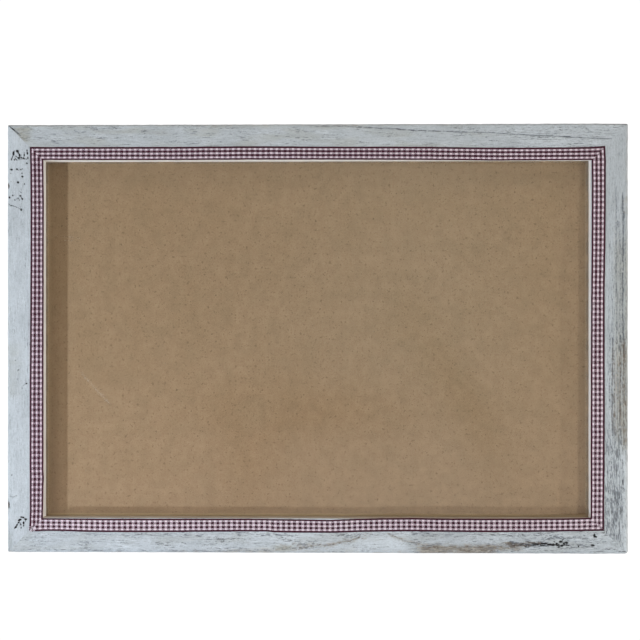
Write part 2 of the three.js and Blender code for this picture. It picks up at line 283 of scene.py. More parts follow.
# ------------------------------------------------------------------ whitewashed wood
def wood_material():
    m = Mat("whitewashed_wood")
    co = m.attr("grain_co", "Vector")
    mark, pit, wear = m.attr("mark"), m.attr("pit"), m.attr("wear")
    stain, tone, coarse = m.attr("stain"), m.attr("tone"), m.attr("coarse")
    bare, lip = m.attr("bare"), m.attr("lip")
    chalk = m.noise(m.scaled(co, 1 / 2.1, 1 / 0.55), 1.0, 3, 0.65, 0.1)
    streak = m.noise(m.scaled(co, 1 / 8.0, 1 / 0.62), 1.0, 3, 0.6, 0.25)
    cloud = m.noise(m.scaled(co, 1 / 17.0, 1 / 8.0), 1.0, 3, 0.55)
    grit = m.noise(m.scaled(co, 1 / 0.6, 1 / 0.5), 1.0, 2, 0.6)
    fibre = m.noise(m.scaled(co, 1 / 14.0, 1 / 0.3), 1.0, 2, 0.6)
    pore = m.noise(m.scaled(co, 1 / 2.4, 1 / 0.24), 1.0, 2, 0.55)

    g = m.math("MULTIPLY", chalk, 0.45)
    g = m.math("MULTIPLY_ADD", streak, 0.40, g)
    g = m.math("MULTIPLY_ADD", grit, 0.15, g)
    gd = m.math("SUBTRACT", g, 0.5)
    t = m.math("MULTIPLY", gd, m.math("MULTIPLY_ADD", coarse, 2.6, 0.9))
    t = m.math("MULTIPLY_ADD", m.math("SUBTRACT", grit, 0.5), 0.45, t)
    t = m.math("MULTIPLY_ADD", m.math("SUBTRACT", cloud, 0.5), 0.5, t)
    t = m.math("ADD", t, m.math("ADD", tone, 0.5), clamp=True)
    paint = m.mix(t, srgb(135, 140, 145), srgb(205, 211, 217))
    paint = m.mix(m.math("MULTIPLY", stain, m.remap(cloud, 0.25, 0.7, 0.4, 0.8)), paint, srgb(142, 138, 118))

    # grain left open by the brush
    open_g = m.math("SUBTRACT", m.math("MULTIPLY_ADD", coarse, 0.06, 0.415), g)
    open_g = m.math("MULTIPLY", m.remap(open_g, -0.02, 0.05), m.math("MULTIPLY", coarse, 0.8), clamp=True)
    colour = m.mix(open_g, paint, srgb(94, 95, 98))

    # wood showing where the whitewash has worn thin
    rub = m.math("MULTIPLY", m.math("SUBTRACT", streak, 0.5), 1.7)
    rub = m.math("MULTIPLY_ADD", m.math("SUBTRACT", chalk, 0.5), 1.3, rub)
    worn = m.remap(m.math("ADD", wear, rub), 0.25, 1.0)
    timber = m.mix(m.remap(chalk, 0.35, 0.65), srgb(100, 90, 77), srgb(160, 148, 131))
    colour = m.mix(m.math("MULTIPLY", worn, 0.72), colour, timber)

    # scratches, split grain and dark specks
    rag = m.math("MULTIPLY_ADD", m.math("SUBTRACT", chalk, 0.5), 1.1, m.math("MULTIPLY", m.math("SUBTRACT", grit, 0.5), 0.7))
    dark = m.remap(m.math("ADD", pit, rag), 0.28, 0.85)
    groove = m.mix(m.remap(wear, 0.2, 0.5), srgb(74, 79, 88), srgb(82, 67, 56))
    colour = m.mix(m.math("MULTIPLY", dark, 0.82), colour, groove)
    spot = m.remap(m.math("ADD", mark, m.math("MULTIPLY", m.math("SUBTRACT", grit, 0.5), 0.5)), 0.22, 0.68)
    colour = m.mix(spot, colour, srgb(25, 23, 24))

    # cream edge paint on the wall round the opening; its brightness per rail also holds painted shade, darkest on the
    # bottom wall that faces up
    edge_paint_and_shade = m.math("MULTIPLY_ADD", m.math("SUBTRACT", cloud, 0.5), 0.5, m.attr("lip_tone"), clamp=True)
    cream = m.mix(edge_paint_and_shade, srgb(150, 130, 106), srgb(252, 249, 246))
    cream = m.mix(m.math("MULTIPLY", m.remap(chalk, 0.58, 0.7), 0.25), cream, srgb(150, 136, 116))
    colour = m.mix(lip, colour, cream)

    # unpainted back and rebate, with thin smears of whitewash
    ring = m.noise(m.scaled(co, 1 / 90.0, 1 / 1.7), 1.0, 2, 0.5, 0.9)
    raw = m.mix(m.remap(ring, 0.35, 0.65), srgb(150, 118, 82), srgb(196, 166, 124))
    raw = m.mix(m.math("MULTIPLY", m.remap(fibre, 0.5, 0.75), 0.5), raw, srgb(112, 84, 56))
    raw = m.mix(m.math("MULTIPLY", m.remap(pore, 0.62, 0.72), 0.6), raw, srgb(84, 60, 40))
    raw = m.mix(m.math("MULTIPLY", m.remap(cloud, 0.58, 0.72), m.remap(chalk, 0.35, 0.7, 0.1, 0.6)), raw, srgb(204, 206, 202))
    cover = m.remap(m.math("ADD", bare, m.math("MULTIPLY", m.math("SUBTRACT", m.noise(m.scaled(co, 1 / 3.0, 1 / 1.4), 1.0, 3, 0.6), 0.5), 0.9)), 0.42, 0.58)
    colour = m.mix(cover, colour, raw)

    rough = m.math("MULTIPLY_ADD", gd, -0.5, 0.66)
    rough = m.math("MULTIPLY_ADD", dark, 0.15, rough)
    rough = m.math("MULTIPLY_ADD", cover, 0.1, rough, clamp=True)
    h = m.math("MULTIPLY_ADD", g, 1.0, m.math("MULTIPLY", fibre, 0.3))
    h = m.math("SUBTRACT", h, m.math("MULTIPLY", dark, 0.5))
    h = m.math("SUBTRACT", h, m.math("MULTIPLY", m.math("MAXIMUM", open_g, worn), 0.25))
    m.principled(colour, rough, m.bump(h, 0.00022, 0.8), Specular_IOR_Level=0.3)
    return m.m


# ------------------------------------------------------------------ gingham ribbon
def ribbon_material():
    m = Mat("gingham_ribbon")
    co = m.attr("check_co", "Vector")  # checks along, strips across, soiling
    th = m.attr("thread_co", "Vector")  # mm along, mm across, how much the warp covers the weft
    x, y, soil = m.split(co)
    lie = m.split(th)[2]
    fray = m.noise(m.scaled(th, 1 / 0.5, 1 / 0.5, 0.0), 1.0, 2, 0.6)
    drift = m.math("MULTIPLY", m.math("SUBTRACT", fray, 0.5), 0.10)
    # dark yarns in bands: 1 where the yarn is dark
    along = m.math("COSINE", m.math("MULTIPLY", m.math("ADD", x, drift), 2 * math.pi))
    across = m.math("COSINE", m.math("MULTIPLY", m.math("ADD", m.math("MULTIPLY", y, 3.0), drift), 2 * math.pi))
    weft = m.remap(m.math("MULTIPLY_ADD", soil, -0.24, along), 0.16, -0.16)
    warp = m.remap(m.math("MULTIPLY_ADD", soil, 0.24, across), -0.28, 0.06)
    # plain weave: over and under in turn, a whole number of yarns to each check
    sx = m.math("SINE", m.math("MULTIPLY", m.math("ADD", x, 0.05), 10 * math.pi))
    sy = m.math("SINE", m.math("MULTIPLY", y, 24 * math.pi))
    face = m.math("MULTIPLY_ADD", warp, lie, m.math("MULTIPLY", sx, sy))
    over = m.remap(face, 0.0, 0.18)
    shade = m.mix(over, weft, warp)
    shade = m.node("SeparateColor", {0: shade}).outputs[0]
    light = m.mix(fray, srgb(218, 204, 214), srgb(241, 228, 237))
    light = m.mix(m.math("MULTIPLY", soil, 0.38), light, m.mix(fray, srgb(180, 154, 169), srgb(210, 184, 199)))
    deep = m.mix(fray, srgb(38, 5, 22), srgb(74, 24, 46))
    colour = m.mix(shade, light, deep)
    off = m.math("ABSOLUTE", m.math("SUBTRACT", y, 0.5))
    colour = m.mix(m.remap(off, 0.392, 0.418), colour, deep)
    # thread crowns catch the light; painted shade darkens the gaps between them, which also sink in the bump
    crown = m.math("MAXIMUM", m.math("ABSOLUTE", sx), m.math("ABSOLUTE", sy))
    colour = m.mix(m.remap(crown, 0.75, 0.35, 0.0, 0.35), colour, srgb(40, 26, 32))
    h = m.math("MULTIPLY_ADD", crown, 0.7, m.math("MULTIPLY", fray, 0.4))
    rough = m.math("MULTIPLY_ADD", fray, 0.2, 0.68)
    p = m.principled(colour, rough, m.bump(h, 0.00007, 0.7), Specular_IOR_Level=0.25)
    p.inputs["Sheen Weight"].default_value = 0.15
    p.inputs["Sheen Roughness"].default_value = 0.5
    return m.m


# ------------------------------------------------------------------ hardboard
def board_material():
    m = Mat("hardboard")
    co = m.scaled(m.obj(), 1000.0, 1000.0, 1000.0)  # mm
    bx, y, bz = m.split(co)
    flat = m.scaled(co, 1.0, 0.0, 1.0)
    rear = m.remap(y, -1.7, -1.5)
    blot = m.noise(flat, 1 / 26.0, 3, 0.55)
    mott = m.noise(flat, 1 / 5.0, 3, 0.6)
    fleck = m.noise(flat, 1 / 1.25, 1, 0.5)
    dust = m.noise(flat, 1 / 0.95, 2, 0.6)
    fib_a = m.noise(m.scaled(co, 1 / 0.4, 0.0, 1 / 2.8), 1.0, 2, 0.5, 1.2)
    fib_b = m.noise(m.scaled(co, 1 / 2.6, 0.0, 1 / 0.4), 1.0, 2, 0.5, 1.2)
    colour = m.mix(m.remap(mott, 0.3, 0.7), srgb(165, 133, 107), srgb(175, 143, 116))
    colour = m.mix(m.math("MULTIPLY", m.remap(blot, 0.35, 0.7), 0.30), colour, srgb(158, 127, 99))
    colour = m.mix(m.math("MULTIPLY", m.remap(dust, 0.54, 0.74), 0.26), colour, srgb(116, 90, 65))
    colour = m.mix(m.math("MULTIPLY", m.remap(dust, 0.46, 0.30), 0.20), colour, srgb(196, 168, 137))
    smut = m.noise(flat, 1 / 1.6, 2, 0.55)
    colour = m.mix(m.math("MULTIPLY", m.remap(smut, 0.57, 0.74), 0.58), colour, srgb(114, 89, 65))
    grey = m.noise(flat, 1 / 9.0, 2, 0.5)
    colour = m.mix(m.math("MULTIPLY", m.remap(grey, 0.42, 0.66), 0.26), colour, srgb(150, 124, 99))
    colour = m.mix(m.math("MULTIPLY", m.remap(fleck, 0.66, 0.76), 0.52), colour, srgb(84, 63, 45))
    fib = m.math("MAXIMUM", m.remap(fib_a, 0.66, 0.78), m.remap(fib_b, 0.66, 0.78))
    colour = m.mix(m.math("MULTIPLY", fib, 0.38), colour, srgb(118, 92, 67))
    # painted light: a paler band where the board meets the lip, filling the shade in that corner and standing in for
    # the lip's reflection in the glass
    rim = m.math("MAXIMUM", m.remap(bz, -94.2, -95.6, 0.0, 0.95), m.remap(bx, -143.2, -145.8, 0.0, 0.72))
    rim = m.math("MAXIMUM", rim, m.math("MAXIMUM", m.remap(bz, 93.2, 95.4, 0.0, 0.5), m.remap(bx, 143.6, 145.6, 0.0, 0.7)))
    colour = m.mix(rim, colour, srgb(201, 168, 135))
    fib_back = m.math("MAXIMUM", m.remap(fib_a, 0.36, 0.26), m.remap(fib_b, 0.36, 0.26))
    # the rear keeps the print of the press screen
    x, _, z = m.split(m.scaled(co, 2 * math.pi / 1.3, 1.0, 2 * math.pi / 1.3))
    screen = m.math("MULTIPLY", m.math("SINE", x), m.math("SINE", z))
    dark_rear = m.mix(m.remap(screen, -0.6, 0.6), srgb(97, 74, 52), srgb(122, 96, 69))
    dark_rear = m.mix(m.math("MULTIPLY", m.remap(mott, 0.4, 0.75), 0.32), dark_rear, srgb(74, 54, 37))
    dark_rear = m.mix(m.math("MULTIPLY", m.remap(blot, 0.5, 0.75), 0.22), dark_rear, srgb(146, 118, 87))
    dark_rear = m.mix(m.math("MULTIPLY", m.remap(fleck, 0.62, 0.72), 0.5), dark_rear, srgb(66, 47, 32))
    dark_rear = m.mix(m.math("MULTIPLY", fib_back, 0.5), dark_rear, srgb(150, 124, 94))
    colour = m.mix(rear, colour, dark_rear)
    rough = m.math("MULTIPLY_ADD", mott, 0.2, m.remap(rear, 0.0, 1.0, 0.58, 0.78))
    h = m.math("MULTIPLY_ADD", dust, 0.25, m.math("MULTIPLY", mott, 0.3))
    h = m.math("MULTIPLY_ADD", m.math("MULTIPLY", screen, rear), 0.8, h)
    m.principled(colour, rough, m.bump(h, 0.00012, 0.6), Specular_IOR_Level=0.3)
    return m.m


# ------------------------------------------------------------------ glass
def glass_material():
    m = Mat("clear_glass")
    co = m.scaled(m.obj(), 1000.0, 1000.0, 1000.0)
    smear = m.noise(m.scaled(co, 1 / 30.0, 0.0, 1 / 18.0), 1.0, 3, 0.6)
    dust = m.noise(m.scaled(co, 1 / 0.8, 0.0, 1 / 0.8), 1.0, 1, 0.5)
    gx, _, gz = m.split(co)
    wipe = None
    for (ax, az), (bx, bz), wide in (((-128.5, -17.5), (-111.5, -36.0), 1.1), ((-142.5, 55.5), (-127.5, 54.0), 0.55), ((-138.0, 52.4), (-130.5, 53.0), 0.45)):
        ln = math.hypot(bx - ax, bz - az)
        ux, uz = (bx - ax) / ln, (bz - az) / ln
        al = m.math("MULTIPLY_ADD", gx, ux, m.math("MULTIPLY_ADD", gz, uz, -(ax * ux + az * uz)))
        ac = m.math("MULTIPLY_ADD", gx, -uz, m.math("MULTIPLY_ADD", gz, ux, ax * uz - az * ux))
        part = m.math("MULTIPLY", m.remap(m.math("ABSOLUTE", ac), wide, 0.0), m.math("MULTIPLY", m.remap(al, -1.0, 3.0), m.remap(al, ln + 1.0, ln - 3.0)))
        wipe = part if wipe is None else m.math("MAXIMUM", wipe, part)
    wipe = m.math("MULTIPLY", wipe, m.remap(m.noise(m.scaled(co, 1 / 2.2, 0.0, 1 / 1.1), 1.0, 2, 0.6), 0.38, 0.66, 0.0, 0.075))
    # painted shade and dirt: a dark line along the pane's edge next to the walls, standing for dust and the shade of
    # the gap under the lip
    side = m.math("MINIMUM", m.math("ADD", gx, 146.5), m.math("SUBTRACT", 145.7, gx))
    high = m.math("SUBTRACT", 95.25, gz)
    rim = m.node("Math", operation="SMOOTH_MIN")
    for k, val in enumerate((side, high, 2.4)):
        m.put(rim.inputs[k], val)
    rim_dirt_and_shade = m.math("MULTIPLY", m.remap(rim.outputs[0], 1.45, 0.65), m.remap(m.noise(m.scaled(co, 1 / 9.0, 0.0, 1 / 9.0), 1.0, 2, 0.6), 0.3, 0.7, 0.04, 0.22))
    clear = m.node("BsdfTransparent", {"Color": (0.965, 0.985, 0.972, 1.0)})
    gloss = m.node("BsdfGlossy", {"Roughness": m.remap(smear, 0.35, 0.75, 0.015, 0.07)})
    film = m.node("BsdfDiffuse", {"Color": (0.8, 0.8, 0.78, 1.0)})
    fres = m.node("Fresnel", {"IOR": 1.8})
    outside = m.math("SUBTRACT", 1.0, m.node("NewGeometry").outputs["Backfacing"])
    body = m.node("MixShader")
    m.put(body.inputs[0], m.math("MULTIPLY", fres.outputs[0], outside))
    m.put(body.inputs[1], clear.outputs[0])
    m.put(body.inputs[2], gloss.outputs[0])
    top = m.node("MixShader")
    m.put(top.inputs[0], m.math("ADD", wipe, m.math("MULTIPLY", m.remap(dust, 0.74, 0.84), m.remap(smear, 0.4, 0.7, 0.0, 0.25))))
    m.put(top.inputs[1], body.outputs[0])
    m.put(top.inputs[2], film.outputs[0])
    dirt_and_shade_bsdf = m.node("BsdfDiffuse", {"Color": (0.225, 0.193, 0.158, 1.0)})
    last = m.node("MixShader")
    m.put(last.inputs[0], rim_dirt_and_shade)
    m.put(last.inputs[1], top.outputs[0])
    m.put(last.inputs[2], dirt_and_shade_bsdf.outputs[0])
    m.t.links.new(last.outputs[0], m.out.inputs["Surface"])
    return m.m


# ------------------------------------------------------------------ metals
def metal_material(name, light, deep, rough0):
    m = Mat(name)
    co = m.scaled(m.obj(), 1000.0, 1000.0, 1000.0)
    cloud = m.noise(co, 1 / 3.0, 3, 0.6)
    spangle = m.noise(co, 1 / 0.7, 2, 0.5)
    scratch = m.noise(m.scaled(co, 1 / 0.12, 1 / 2.5, 1 / 4.0), 1.0, 1, 0.5, 0.3)
    fine = m.remap(scratch, 0.62, 0.74)
    colour = m.mix(m.remap(cloud, 0.3, 0.7), deep, light)
    colour = m.mix(m.math("MULTIPLY", m.remap(spangle, 0.6, 0.75), 0.35), colour, srgb(120, 116, 106))
    colour = m.mix(m.math("MULTIPLY", fine, 0.4), colour, srgb(222, 222, 220))
    rough = m.math("MULTIPLY_ADD", cloud, 0.3, rough0)
    rough = m.math("MULTIPLY_ADD", fine, -0.08, rough, clamp=True)
    h = m.math("MULTIPLY_ADD", spangle, 0.5, m.math("MULTIPLY", fine, -0.6))
    m.principled(colour, rough, m.bump(h, 0.00004, 0.5), Metallic=1.0)
    return m.m


# ------------------------------------------------------------------ rails
FACE, LIP, BARE, BACK, SIDE, ARRIS = range(6)


def rail_section(w, arris, rebate, taper):
    """Closed section in (u, y), counter-clockwise, u from the outside edge inwards. Returns points and zones."""
    pts, zones = [], []

    def line(a, b, n, zone):
        for k in range(n):
            pts.append((a[0] + (b[0] - a[0]) * k / n, a[1] + (b[1] - a[1]) * k / n))
            zones.append(zone)

    def arc(c, r, a0, a1, n, zone):
        for k in range(n):
            a = math.radians(a0 + (a1 - a0) * k / n)
            pts.append((c[0] + r * math.cos(a), c[1] + r * math.sin(a)))
            zones.append(zone)

    ri, rb = 0.4, 0.5
    line((arris, -T), (12.6, -T), 34, FACE)
    line((12.6, -T), (w - ri, -T), 7, FACE)
    arc((w - ri, -T + ri), ri, -90, 0, 4, LIP)
    line((w, -T + ri), (w + taper, SHOULDER_Y), 9, LIP)
    line((w + taper, SHOULDER_Y), (rebate, SHOULDER_Y), 4, BARE)
    line((rebate, SHOULDER_Y), (rebate, 0.0), 5, BARE)
    line((rebate, 0.0), (rb, 0.0), 14, BACK)
    arc((rb, -rb), rb, 90, 180, 3, BACK)
    line((0.0, -rb), (0.0, -T + arris), 18, SIDE)
    arc((arris, -T + arris), arris, 180, 270, 7, ARRIS)
    return np.array(pts), np.array(zones)


def stroke(f, key, pts, width, amount, break_up=0.6):
    """A worn line through picture points; width is its half width in pixels."""
    px, py, keep = f["px"], f["py"], f["front"]
    p = np.asarray(pts, float)
    pad = width * 3 + 2
    box = (px > p[:, 0].min() - pad) & (px < p[:, 0].max() + pad) & (py > p[:, 1].min() - pad) & (py < p[:, 1].max() + pad) & (keep > 0.02)
    at = np.nonzero(box)
    if not len(at[0]):
        return
    x, y = px[at], py[at]
    best = np.full(len(x), 1e9)
    for a, b in zip(p[:-1], p[1:]):
        d = b - a
        t = np.clip(((x - a[0]) * d[0] + (y - a[1]) * d[1]) / max(d @ d, 1e-9), 0, 1)
        best = np.minimum(best, (x - a[0] - t * d[0]) ** 2 + (y - a[1] - t * d[1]) ** 2)
    grain = fbm(x / 2.1, y / 2.1, f["seed"] + 7, 2)
    v = np.exp(-best / (2 * (width * 0.75) ** 2)) * amount * (1 - break_up + 2 * break_up * np.clip(grain, 0, 1)) * keep[at]
    f[key][at] = np.maximum(f[key][at], v)


def blots(f, spots, gain=1.7):
    """Small black marks, strong enough to keep a hard edge."""
    dots(f, "mark", [(x, y, rx, ry, gain * a) for x, y, rx, ry, a in spots], 0.35)


def dots(f, key, spots, break_up=0.25):
    """Spots at picture points: x, y, half width, half height, amount."""
    px, py, keep = f["px"], f["py"], f["front"]
    for x0, y0, rx, ry, amount in spots:
        box = (np.abs(px - x0) < rx * 3 + 1) & (np.abs(py - y0) < ry * 3 + 1) & (keep > 0.02)
        at = np.nonzero(box)
        if not len(at[0]):
            continue
        x, y = px[at], py[at]
        grain = fbm(x / 1.7, y / 1.7, f["seed"] + 9, 2)
        r2 = ((x - x0) / (rx * 0.8)) ** 2 + ((y - y0) / (ry * 0.8)) ** 2
        v = np.exp(-r2 / 2) * amount * (1 - break_up + 2 * break_up * np.clip(grain, 0, 1)) * keep[at]
        f[key][at] = np.maximum(f[key][at], v)


def patch(f, key, x0, y0, x1, y1, amount, soft=4.0):
    """A soft-edged area in picture points, broken up by noise."""
    px, py = f["px"], f["py"]
    k = smooth(px, x0 - soft, x0 + soft) * (1 - smooth(px, x1 - soft, x1 + soft))
    k = k * smooth(py, y0 - soft * 0.5, y0 + soft * 0.5) * (1 - smooth(py, y1 - soft * 0.5, y1 + soft * 0.5))
    grain = fbm(px / 9.0, py / 5.0, f["seed"] + 15, 3)
    v = k * amount * np.clip(0.35 + 1.3 * grain, 0, 1.3) * f["front"]
    f[key][...] = np.maximum(f[key], v)


def ticks(f, key, path, count, spread, length, width, amount, seed, turn=0.12):
    """Short pores strewn along a line of picture points; lengths and half widths in pixels."""
    rng = np.random.default_rng(seed)
    p = np.asarray(path, float)
    d = np.diff(p, axis=0)
    run = np.concatenate([[0], np.cumsum(np.hypot(d[:, 0], d[:, 1]))])
    for _ in range(count):
        q = rng.uniform(0, run[-1])
        k = min(int(np.searchsorted(run, q, side="right")) - 1, len(d) - 1)
        t = d[k] / max(run[k + 1] - run[k], 1e-9)
        c = p[k] + t * (q - run[k]) + np.array([-t[1], t[0]]) * np.clip(rng.normal(0, 1), -2.2, 2.2) * spread
        a = math.atan2(t[1], t[0]) + rng.normal(0, turn)
        half = 0.5 * length * rng.uniform(0.45, 1.35)
        strong = amount * rng.uniform(0.55, 1.15)
        wide = width * rng.uniform(0.75, 1.25)
        ux, uy = math.cos(a), math.sin(a)
        lo, hi = (c[0], c[0]) if f["flat"] else (c[1], c[1])
        rows = np.nonzero((f["mid"] > lo - half - 46) & (f["mid"] < hi + half + 46))[0]
        if not len(rows):
            continue
        r = slice(rows[0], rows[-1] + 1)
        x, y = f["px"][r] - c[0], f["py"][r] - c[1]
        al, ac = x * ux + y * uy, y * ux - x * uy
        v = strong * np.exp(-((ac / (1.15 * wide)) ** 2)) * (1 - smooth(np.abs(al), half * 0.6, half + 0.6)) * f["front"][r]
        f[key][r] = np.maximum(f[key][r], v)


def strew(f, key, x0, y0, x1, y1, count, length, width, amount, seed, turn=0.10):
    """Pores strewn over an area of the picture, lying along the rail."""
    if f["flat"]:
        ticks(f, key, [(x0, (y0 + y1) / 2), (x1, (y0 + y1) / 2)], count, (y1 - y0) / 3.2, length, width, amount, seed, turn)
    else:
        ticks(f, key, [((x0 + x1) / 2, y0), ((x0 + x1) / 2, y1)], count, (x1 - x0) / 3.2, length, width, amount, seed, turn)


def paint_left(f):
    s, p, py = f["s"], f["p"], f["py"]
    f["tone"] += 0.08
    f["coarse"] += 0.14 + 0.25 * smooth(fbm(s / 12.0, p / 3.0, 6, 2), 0.5, 0.75)
    strew(f, "pit", 8, 130, 30, 548, 90, 7.0, 0.5, 0.26, 301)
    strew(f, "pit", 8, 140, 30, 215, 26, 3.0, 0.6, 0.40, 302)
    # cluster near the top
    stroke(f, "mark", [(14.5, 150.8), (13.6, 153.4), (12.6, 156.6), (11.3, 160.2)], 0.7, 0.72, 0.6)
    stroke(f, "mark", [(15.2, 155), (14.9, 158), (16.4, 160), (19.6, 160), (22.4, 158.8), (24, 156), (24.2, 152)], 0.55, 0.58, 0.7)
    stroke(f, "mark", [(17.6, 151.5), (19.6, 154.6), (19.4, 158)], 0.65, 0.78, 0.6)
    stroke(f, "mark", [(22.2, 149.6), (22.0, 153), (21.4, 156.6)], 0.5, 0.5, 0.7)
    blots(f, [(13.5, 153.4, 0.9, 2.0, 1.0), (17.3, 151.1, 1.4, 1.2, 1.0), (19.5, 155.0, 1.0, 1.0, 0.95), (18.8, 158.0, 1.3, 0.9, 0.95), (16.4, 156.4, 0.8, 0.9, 0.62),
                     (21.2, 157.6, 0.9, 0.8, 0.75), (14.4, 159.8, 0.8, 0.8, 0.78), (11.4, 159.2, 0.7, 1.2, 0.62), (24.1, 155.2, 0.7, 1.5, 0.82), (24.0, 158.6, 0.8, 0.9, 0.8),
                     (27.0, 150.4, 0.7, 1.4, 0.62), (27.3, 153.2, 0.8, 1.3, 0.92), (27.8, 157.8, 0.7, 1.4, 0.74), (26.1, 159.0, 0.7, 0.8, 0.66), (26.9, 163.3, 1.0, 0.8, 0.74)], 1.3)
    blots(f, [(11.4, 169.6, 1.5, 0.8, 0.95), (10.8, 173.6, 1.2, 0.7, 0.5), (16.9, 169.2, 0.9, 0.9, 0.88), (18.4, 170.2, 0.9, 0.6, 0.6), (20.6, 169.6, 1.3, 0.7, 0.66), (22.2, 168.8, 0.7, 0.8, 0.62),
                     (21.9, 173.2, 0.8, 1.0, 0.62), (22.4, 176.6, 1.1, 0.8, 0.92), (18.0, 182.3, 1.1, 1.0, 1.0), (11.0, 181.6, 0.9, 0.8, 0.48), (14.8, 183.4, 0.7, 0.7, 0.42), (24.4, 184.0, 0.8, 1.3, 0.52),
                     (8.4, 186, 0.9, 2.6, 1.0)], 1.25)
    # second cluster
    blots(f, [(9.4, 197.5, 1.0, 1.0, 0.95), (12.7, 195.4, 0.9, 0.9, 0.72), (14.8, 200.0, 1.0, 0.7, 0.70), (16.6, 198.8, 0.9, 0.8, 0.66), (18.0, 198.2, 0.8, 0.8, 0.74),
                     (19.4, 200.0, 0.8, 0.8, 0.68), (20.3, 195.8, 1.2, 0.8, 0.86), (22.4, 198.9, 0.9, 0.9, 0.95), (21.2, 197.6, 0.7, 0.7, 0.6), (20.9, 192.4, 1.0, 0.8, 0.62), (19.4, 191.0, 0.8, 0.7, 0.46)], 1.1)
    stroke(f, "mark", [(8.6, 203.8), (11.5, 205.6), (15, 206.4), (19, 208.2), (21.2, 209.6)], 0.55, 0.55, 0.75)
    blots(f, [(21.2, 209.6, 0.9, 1.4, 0.8), (11.2, 205.6, 1.4, 0.8, 0.72), (8.9, 204.0, 0.8, 0.8, 0.5)], 1.15)
    dots(f, "mark", [(9.2, 224, 0.8, 0.8, 0.45), (18, 227, 0.9, 0.8, 0.4), (24.5, 252, 0.8, 0.8, 0.4), (14, 288, 0.9, 0.7, 0.4), (21, 311, 0.8, 0.9, 0.36)])
    # worn middle
    patch(f, "stain", 7, 343, 20, 397, 0.20, 7)
    patch(f, "wear", 7, 348, 17, 392, 0.16, 6)
    strew(f, "pit", 8, 342, 26, 398, 26, 4.0, 0.6, 0.40, 303)
    dots(f, "mark", [(15.5, 360.4, 1.2, 0.9, 0.55), (18.6, 370, 1.4, 0.8, 0.62), (26.4, 383.6, 1.1, 0.9, 0.7), (29, 393, 0.9, 0.9, 0.36)], 0.5)
    stroke(f, "mark", [(21.5, 387), (23.5, 385.4), (26.4, 383.6)], 0.7, 0.42, 0.6)
    strew(f, "pit", 9, 352, 22, 378, 16, 3.4, 0.6, 0.62, 304, 0.7)
    strew(f, "pit", 17, 378, 29, 396, 12, 3.0, 0.6, 0.62, 305, 0.9)
    # lower part
    dots(f, "mark", [(11.9, 475, 1.0, 1.0, 0.6), (10.3, 489, 0.8, 0.8, 0.45), (8.6, 505, 1.0, 3.6, 0.95)])
    stroke(f, "mark", [(10, 496), (13, 497.2), (17, 495.4)], 0.7, 0.5, 0.5)
    blots(f, [(20.1, 519.6, 1.3, 0.8, 1.0), (18.6, 520.4, 0.8, 0.7, 0.8), (18.6, 522.5, 0.8, 0.7, 0.88), (21.4, 517.1, 1.3, 0.7, 0.74), (23.3, 517.5, 1.1, 0.7, 0.78),
                     (25.8, 519.3, 1.1, 0.8, 1.0), (24.6, 518.8, 0.6, 0.8, 0.6), (23.6, 522.9, 0.7, 1.3, 1.0), (25.4, 521.2, 0.6, 0.8, 0.48), (20.4, 523.1, 0.7, 0.6, 0.5), (20.8, 524.6, 0.9, 0.7, 0.74),
                     (21.1, 527.8, 0.7, 0.8, 0.66), (23.6, 525.5, 0.6, 1.0, 0.66), (16.9, 525.0, 0.8, 0.9, 0.92), (15.8, 527.0, 0.9, 1.0, 0.95), (14.7, 528.0, 0.7, 0.7, 0.7)], 1.45)
    stroke(f, "mark", [(14.7, 528.2), (16.4, 526), (18.0, 523.4), (19.6, 520.4)], 0.5, 0.6, 0.7)
    stroke(f, "mark", [(23.7, 521.6), (23.6, 524.8), (23.2, 526.6)], 0.45, 0.55, 0.6)
    patch(f, "stain", 6, 532, 11, 556, 0.35, 4)
    f["tone"] -= 0.22 * smooth(py, 522, 540) * (1 - smooth(f["px"], 9, 14)) * f["front"]
    dots(f, "mark", [(8.6, 549, 1.0, 1.2, 0.5)])


